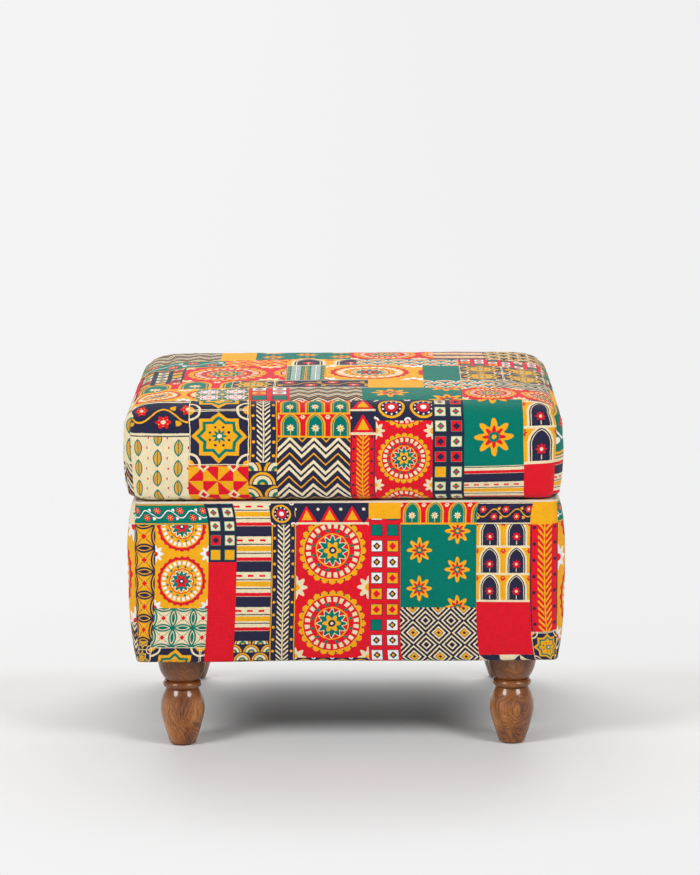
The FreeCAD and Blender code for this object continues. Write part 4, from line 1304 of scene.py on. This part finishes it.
def well_lining():
    """The lining, with its slack."""
    rows = lining_rows()
    level = rows[..., 2]
    on_wall = smooth((level - LINING_FLOOR) / WALL_FADE) * smooth((LINING_TOP - level) / WALL_FADE)
    slack = WALL_SLACK * (roughness(rows, WALL_WAVES, seed=6.0) + 0.7) * on_wall
    rows = rows - slack[..., None] * unit(rows * FLAT)
    on_floor = smooth((LINING_FLOOR + FLOOR_FADE - rows[..., 2]) / FLOOR_FADE)
    rows[..., 2] += on_floor * FLOOR_SLACK * (roughness(rows, FLOOR_WAVES, seed=7.0) + 1)
    mesh, _ = looped("well_lining", rows, lining_cotton, (False, True))
    lining = stand_in("well_lining", mesh, "base", "storage_lining")


well_lining()

# Sheets stapled under the boards

STAPLE_GAP, STAPLE_PUCKER, STAPLE_REACH, STAPLE_WAVES = 0.042, 0.0006, 0.024, 9
SAG_REACH, SAG_WAVES = 0.05, 18


def flat_sheet(name, node, body, material, sag):
    """A stretched sheet that hangs under a board, in place of its node."""
    low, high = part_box(node)
    across, along = np.meshgrid(spaced(high.x - low.x) + low.x, spaced(high.y - low.y) + low.y)
    points = np.stack([across, along, np.full_like(across, low.z)], axis=-1)
    inside_x = np.minimum(across - low.x, high.x - across)
    inside_y = np.minimum(along - low.y, high.y - along)
    inside = np.minimum(inside_x, inside_y)
    points[..., 2] += (roughness(points, SAG_WAVES, seed=9.0) * 0.5 + 0.5) * sag * smooth(inside / SAG_REACH)
    edge_place = np.where(inside_x < inside_y, along, across)
    uneven = 2 * roughness(points, STAPLE_WAVES, seed=4.0)
    waves = np.sin(edge_place * (2 * math.pi / STAPLE_GAP) + uneven)
    points[..., 2] -= STAPLE_PUCKER * (waves + 1) * np.exp(-inside / STAPLE_REACH)
    mesh = mesh_of(name, points, grid_faces(*across.shape)[:, ::-1], material)
    set_uv(mesh, "cloth", points[..., :2])
    stand_in(name, mesh, body, node)


flat_sheet("lid_lining_sheet", "lid_lining", "lid", lining_cotton, sag=0.0008)
flat_sheet("dust_sheet", "dust_cover", "base", dust_cloth, sag=0.0006)

# Foam, which keeps clear of the cloth by EASE and of the boards by BOARD_EASE


def grainy_material(name, dark, pale, waves, detail, depth, rough=0.5, **sockets):
    """A material of one fine grain, with waves to the metre and a depth in metres."""
    material, tree, shader = new_material(name, **sockets)
    grain = noise_value(tree, object_place(tree), (waves, waves, waves), detail, rough)
    dress(tree, shader, two_tone(tree, grain, dark, pale), grain, depth)
    return material


foam = grainy_material(
    "foam", srgb(206, 190, 140), srgb(238, 226, 184), waves=900, detail=3, depth=0.0006, Roughness=0.95
)
EASE, BOARD_EASE, PAD_LEAST = 0.0032, 0.0003, 0.0008
FOAM_LOW = LID_BOARD.z - 0.011
FOAM_DRAW, FOAM_RISE, FOAM_CORNER = 0.0125, 0.043, 0.8
FOAM_STEPS, ROLL_STEPS = 7, 8
CROWN_SHARES, CROWN_REACH, CROWN_CORNER = (0.3, 0.65, 1.0), 0.1, 1.5 * LID_ROUND
POCKET_CORNER = 0.001
PAD_STRIDE = 3


def foam_loop(draw, radius, level):
    """A loop round the lid's foam, drawn in from the cover's sides and leaning with its cloth."""
    row = loop(HALF_X - draw, HALF_Y - draw, radius, level)
    row[:, 0] += lid_shift(row[:, 0], row[:, 1])
    return row


def lid_foam_block():
    """The lid's foam, with a pocket for the board below."""
    loops = []
    for level in (LID_BOARD.z + BOARD_EASE, FOAM_LOW):
        loops.append(loop(LID_BOARD.x + BOARD_EASE, LID_BOARD.y + BOARD_EASE, POCKET_CORNER, level))
    for turn in np.linspace(0, QUARTER_TURN, FOAM_STEPS):
        draw = FOAM_DRAW * (1 - math.sin(turn)) + EASE
        level = FOAM_LOW + FOAM_RISE * (1 - math.cos(turn))
        loops.append(foam_loop(draw, LID_ROUND - draw * FOAM_CORNER, level))
    for turn in np.linspace(0, QUARTER_TURN, ROLL_STEPS):
        draw = LID_ROUND * (1 - math.cos(turn)) + EASE
        level = LID_IN_Z - EASE + LID_ROUND * math.sin(turn)
        loops.append(foam_loop(draw, LID_ROUND + draw / 2, level))
    for share in CROWN_SHARES:
        level = LID_TOP - EASE - LID_CROWN * (1 - share) ** 2
        loops.append(foam_loop(LID_ROUND + EASE + CROWN_REACH * share, CROWN_CORNER, level))
    mesh, _ = looped("lid_foam_block", loops, foam, (True, True))
    stand_in("lid_foam_block", mesh, "lid", "lid_foam")


def foam_pad(facing):
    """A pad between a wall's board and its cloth, closed all round."""
    half_along, half_out, board_along, board_out = WALLS[facing]
    points, normals, _ = base_wall(half_along, half_out)
    front = (points - EASE * normals)[PAD_STRIDE::PAD_STRIDE, ::PAD_STRIDE]
    front[..., 2] = np.clip(front[..., 2], BASE_LOW + EASE, RIM - EASE)
    behind = front.copy()
    behind[..., 0] = np.clip(front[..., 0], -board_along, board_along)
    behind[..., 1] = board_out + BOARD_EASE
    front[..., 1] = np.maximum(front[..., 1], board_out + PAD_LEAST)
    rows, columns = front.shape[:2]
    count = rows * columns
    sides = grid_faces(rows, columns)
    faces = sides.tolist() + (sides[:, ::-1] + count).tolist()
    ids = np.arange(count).reshape(rows, columns)
    border = [*ids[0], *ids[1:, -1], *ids[-1, -2::-1], *ids[-2:0:-1, 0]]
    for here, there in zip(border, border[1:] + border[:1]):
        faces.append([there, here, here + count, there + count])
    name = f"{facing}_foam_pad"
    mesh = mesh_of(name, turned(np.stack([front, behind]), facing), faces, foam)
    stand_in(name, mesh, "base", f"{facing}_pad")


lid_foam_block()
for facing in WALLS:
    foam_pad(facing)

# Wood, metal and fittings. Grain is given as waves to the metre along each axis.

RING_WIDTH = 0.0026
PITH = (LEG_X + 0.012, LEG_Y - 0.034)
CURL, CURL_WAVES = 0.03, (26, 26, 17)
BROAD_WAVES, PORE_WAVES, KNOT_WAVES = (34, 34, 16), (900, 900, 90), (15, 15, 12)
# Painted shade on the legs: between these heights the wood darkens, by this share, towards a dark amber, and
# stays so up to the base
LEG_SHADE_LOW, LEG_SHADE_HIGH, LEG_SHADE_SHARE = 0.05, 0.072, 0.62
WOOD_TONES = (
    (0.33, srgb(80, 38, 12)),
    (0.45, srgb(131, 73, 27)),
    (0.55, srgb(172, 107, 46)),
    (0.68, srgb(206, 144, 74)),
)
# Colour of the knots, and of the painted shade on the legs' upper part
KNOT_COLOUR, LEG_SHADE_COLOUR = srgb(52, 26, 10), srgb(98, 50, 14)
RING_SHARE, BROAD_SHARE, PORE_SHARE = 0.07, 0.63, 0.3
KNOT_NEAR, KNOT_FAR, KNOT_SHARE = 0.02, 0.2, 0.75
WOOD_ROUGH, WOOD_DEPTH = (0.5, 0.36), 0.00002
BOARD_GRAIN, BOARD_PORES, BOARD_PORE_SHARE, BOARD_DEPTH = (8, 120, 120), (60, 900, 900), 0.2, 0.0001
BRUSHING, DULL_SPOTS, DULL_SHARE = (3000, 160, 160), (60, 60, 60), 0.8
STEEL_UNEVEN, STEEL_SMOOTHER, STEEL_ROUGHER, BRUSH_DEPTH = (0.6, 1.4), 0.08, 0.1, 0.00003


def leg_material():
    """Stained and varnished turned wood: growth rings about a pith beside the leg, pores and a few knots,
    and painted shade that darkens its upper part.
    """
    material, tree, shader = new_material(
        "turned_wood", Coat_Weight=0.9, Coat_Roughness=0.1, Coat_IOR=1.4, Specular_IOR_Level=0.3
    )
    place = object_place(tree)
    swirl_inputs = {"Vector": scaled(tree, place, CURL_WAVES), "Scale": 1.0, "Detail": 2.0}
    swirl = add(tree, "ShaderNodeTexNoise", swirl_inputs).outputs["Color"]
    curl = add(tree, "ShaderNodeVectorMath", {0: swirl, "Scale": CURL}, operation="SCALE").outputs[0]
    moved = add(tree, "ShaderNodeVectorMath", {0: place, 1: curl}, operation="ADD").outputs[0]
    across, along, _ = split(tree, moved)
    growth = reach_of(across.abs() - PITH[0], along.abs() - PITH[1]) * (2 * math.pi / RING_WIDTH)
    lines = growth.math("SINE") * 0.5 + 0.5
    broad = noise_value(tree, moved, BROAD_WAVES, 3)
    pores = noise_value(tree, moved, PORE_WAVES, 2)
    tone = lines * RING_SHARE + broad * BROAD_SHARE + pores * PORE_SHARE
    knots = add(tree, "ShaderNodeTexVoronoi", {"Vector": scaled(tree, moved, KNOT_WAVES), "Scale": 1.0})
    knot = spread(tree, knots.outputs["Distance"], KNOT_NEAR, KNOT_FAR, KNOT_SHARE, 0.0)
    colour = mix(tree, knot, ramp(tree, tone, *WOOD_TONES), KNOT_COLOUR)
    # Painted shade: the leg's upper part, from its shoulder up to the base, darkened towards a dark amber
    painted_shade = spread(tree, split(tree, place)[2], LEG_SHADE_LOW, LEG_SHADE_HIGH, 0.0, LEG_SHADE_SHARE)
    feed(tree, shader.inputs["Roughness"], spread(tree, tone, NOISE_LOW, NOISE_HIGH, *WOOD_ROUGH))
    dress(tree, shader, mix(tree, painted_shade, colour, LEG_SHADE_COLOUR), pores, WOOD_DEPTH)
    return material


def board_material(name, pale, dark):
    """Bare board with a long grain along its length."""
    material, tree, shader = new_material(name, Roughness=0.7)
    place = object_place(tree)
    grain = noise_value(tree, place, BOARD_GRAIN, 5, 0.6)
    pores = noise_value(tree, place, BOARD_PORES, 2)
    both = grain * (1 - BOARD_PORE_SHARE) + pores * BOARD_PORE_SHARE
    dress(tree, shader, two_tone(tree, both, dark, pale), pores, BOARD_DEPTH)
    return material


def steel_material(name, colour, rough):
    """Plated steel with fine brushing and a few dull spots."""
    material, tree, shader = new_material(name, Metallic=1.0)
    place = object_place(tree)
    brushed = noise_value(tree, place, BRUSHING, 2)
    dull = noise_value(tree, place, DULL_SPOTS, 4)
    low, high = rough - STEEL_SMOOTHER, rough + STEEL_ROUGHER
    feed(tree, shader.inputs["Roughness"], spread(tree, brushed + dull, *STEEL_UNEVEN, low, high))
    dress(tree, shader, mix(tree, dull, darker(colour, DULL_SHARE), colour), brushed, BRUSH_DEPTH)
    return material


SLOT_MATERIALS = {
    "turned_wood": leg_material(),
    "plywood": board_material("plywood", srgb(222, 186, 138), srgb(186, 142, 96)),
    "pine_block": board_material("pine_block", srgb(226, 190, 134), srgb(200, 156, 100)),
    "hinge_steel": steel_material("hinge_steel", srgb(196, 190, 176), 0.32),
    "stay_steel": steel_material("stay_steel", srgb(150, 150, 148), 0.38),
    "fastener_steel": steel_material("fastener_steel", srgb(204, 190, 150), 0.3),
    "glide_nylon": grainy_material(
        "glide_nylon", srgb(34, 28, 24), srgb(52, 44, 38), waves=2500, detail=2, depth=0.00005, Roughness=0.5
    ),
    "felt": grainy_material(
        "felt", srgb(40, 36, 34), srgb(74, 68, 64), waves=1800, detail=4, depth=0.0003, rough=0.7,
        Roughness=0.97, Sheen_Weight=0.3,
    ),
}
for row in frame["record"]["subparts"]:
    material = SLOT_MATERIALS.get(row["material_slot"])
    if material:
        mesh = frame["nodes"][row["node"]].data
        mesh.materials.clear()
        mesh.materials.append(material)

# Stage: a pale floor that runs out into a pale background, soft light, and the photograph's camera

FLOOR_REACH = 60.0
FLOOR_PALE, FLOOR_DARK, FLOOR_PATCHES = srgb(228, 228, 228), srgb(225, 225, 225), (1.5, 1.5, 1.5)
BRIGHT_SIDE, DIM_SIDE, SIDE_REACH = srgb(244, 244, 244), srgb(240, 240, 240), 0.7
GLOW_NEAR, GLOW_FAR, GLOW_SQUEEZE = 0.45, 1.1, 1.4
# Painted light on the floor just behind the object: between these places it glows like the background, up to
# this share, over the object's shadow
REAR_PAINTED_LIGHT_NEAR, REAR_PAINTED_LIGHT_FAR, REAR_PAINTED_LIGHT_SHARE = 0.14, 0.27, 0.8
WORLD_LIGHT = 0.25
SKY_LOW, SKY_HIGH, SKY_TURN = 0.12, 0.3, 0.05


def seen_share(tree, mirrored=1.0):
    """1 on the rays from the camera, and a share on those that shiny or clear surfaces send on."""
    rays = tree.nodes.new("ShaderNodeLightPath").outputs
    bent = Field(tree, rays["Is Glossy Ray"]) + Field(tree, rays["Is Transmission Ray"])
    return (Field(tree, rays["Is Camera Ray"]) + bent * mirrored).least(1.0)


def eased(tree, value, low, high, to_high):
    """A share that rises smoothly from 0 between two values."""
    return spread(tree, value, low, high, 0.0, to_high, "SMOOTHSTEP")


def side_to_side(tree, across, reach):
    """The background's colour, which dims a little from left to right."""
    return mix(tree, spread(tree, across, -reach, reach, 0.0, 1.0), BRIGHT_SIDE, DIM_SIDE)


def floor_material():
    """A pale floor with the object's shadow near it, which glows like the background further out, and just
    behind the object glows as painted light over the shadow.

    From below it is clear, so that the underside can be seen.
    """
    material, tree, shader = new_material("floor", Roughness=0.9, Specular_IOR_Level=0.1)
    place = object_place(tree)
    patchy = noise_value(tree, place, FLOOR_PATCHES, 2)
    feed(tree, shader.inputs["Base Color"], two_tone(tree, patchy, FLOOR_DARK, FLOOR_PALE))
    across, along, _ = split(tree, place)
    colour = side_to_side(tree, across, SIDE_REACH)
    glow = add(tree, "ShaderNodeEmission", {"Color": colour, "Strength": 1.0})
    far = eased(tree, reach_of(across, along * GLOW_SQUEEZE), GLOW_NEAR, GLOW_FAR, 1.0)
    # Painted light: just behind the object the floor glows too, over its shadow
    share = seen_share(tree) * far.most(eased(tree, along, REAR_PAINTED_LIGHT_NEAR, REAR_PAINTED_LIGHT_FAR, REAR_PAINTED_LIGHT_SHARE))
    lit = add(tree, "ShaderNodeMixShader", {0: share, 1: shader.outputs[0], 2: glow.outputs[0]})
    clear = tree.nodes.new("ShaderNodeBsdfTransparent")
    below = Field(tree, tree.nodes.new("ShaderNodeNewGeometry").outputs["Backfacing"])
    below = below * Field(tree, tree.nodes.new("ShaderNodeLightPath").outputs["Is Camera Ray"])
    surface = add(tree, "ShaderNodeMixShader", {0: below, 1: lit.outputs[0], 2: clear.outputs[0]})
    feed(tree, tree.nodes["Material Output"].inputs["Surface"], surface.outputs[0])
    return material


def pale_floor():
    """The floor, one large face."""
    corners = [(x, y, 0) for y in (-FLOOR_REACH, FLOOR_REACH) for x in (-FLOOR_REACH, FLOOR_REACH)]
    placed("floor", mesh_of("floor", corners, grid_faces(2, 2), floor_material()))


# Each lamp: name, place, size, power in watts and shape
LAMP_TARGET = Vector((0, 0, 0.25))
LAMPS = (
    ("left_softbox", (-2.0, -1.85, 1.9), (1.3, 0.95), 52, "ELLIPSE"),
    ("right_softbox", (1.85, -1.9, 1.9), (1.3, 0.95), 46, "ELLIPSE"),
    ("rear_low_softbox", (0, 3.0, 1.5), (4.0, 1.4), 44, "RECTANGLE"),
    ("rear_high_softbox", (0, 1.8, 2.2), (2.4, 1.2), 40, "RECTANGLE"),
)


def softbox(name, place, size, power, shape):
    """An area light that faces the object."""
    light = bpy.data.lights.new(name, "AREA")
    light.shape = shape
    light.size, light.size_y = size
    light.energy = power
    lamp = placed(name, light)
    lamp.location = place
    lamp.rotation_euler = (LAMP_TARGET - Vector(place)).to_track_quat("-Z", "Y").to_euler()
    lamp.visible_camera = False


def studio_world():
    """Faint light from all round, and a pale background where the camera sees it."""
    world = bpy.data.worlds.new("studio")
    world.use_nodes = True
    tree = world.node_tree
    faint = tree.nodes["Background"]
    faint.inputs["Color"].default_value = BRIGHT_SIDE
    faint.inputs["Strength"].default_value = WORLD_LIGHT
    across, _, height = split(tree, tree.nodes.new("ShaderNodeTexCoord").outputs["Generated"])
    colour = side_to_side(tree, across, SKY_TURN)
    pale = add(tree, "ShaderNodeBackground", {"Color": colour, "Strength": 1.0})
    low_sky = eased(tree, height * -1, -SKY_HIGH, -SKY_LOW, 1.0)
    shares = {0: seen_share(tree, low_sky), 1: faint.outputs[0], 2: pale.outputs[0]}
    both = add(tree, "ShaderNodeMixShader", shares)
    feed(tree, tree.nodes["World Output"].inputs["Surface"], both.outputs[0])
    bpy.context.scene.world = world


# The camera that the photograph's outline gives
PHOTO_HEIGHT = 875
FOCAL_PIXELS = 3844.6
CAMERA_PLACE = (0.0055, -5.0337, 1.2801)
CAMERA_PITCH = 0.1787
CAMERA_ROLL = 0.0056


def photo_camera():
    """The photograph's camera."""
    data = bpy.data.cameras.new("camera")
    data.lens = FOCAL_PIXELS * data.sensor_width / PHOTO_HEIGHT
    camera = placed("camera", data)
    camera.location = CAMERA_PLACE
    camera.rotation_euler = (QUARTER_TURN - CAMERA_PITCH, 0, 0)
    camera.rotation_euler.rotate_axis("Z", -CAMERA_ROLL)
    bpy.context.scene.camera = camera


pale_floor()
for lamp in LAMPS:
    softbox(*lamp)
studio_world()
photo_camera()
bpy.context.scene.view_settings.view_transform = "Standard"
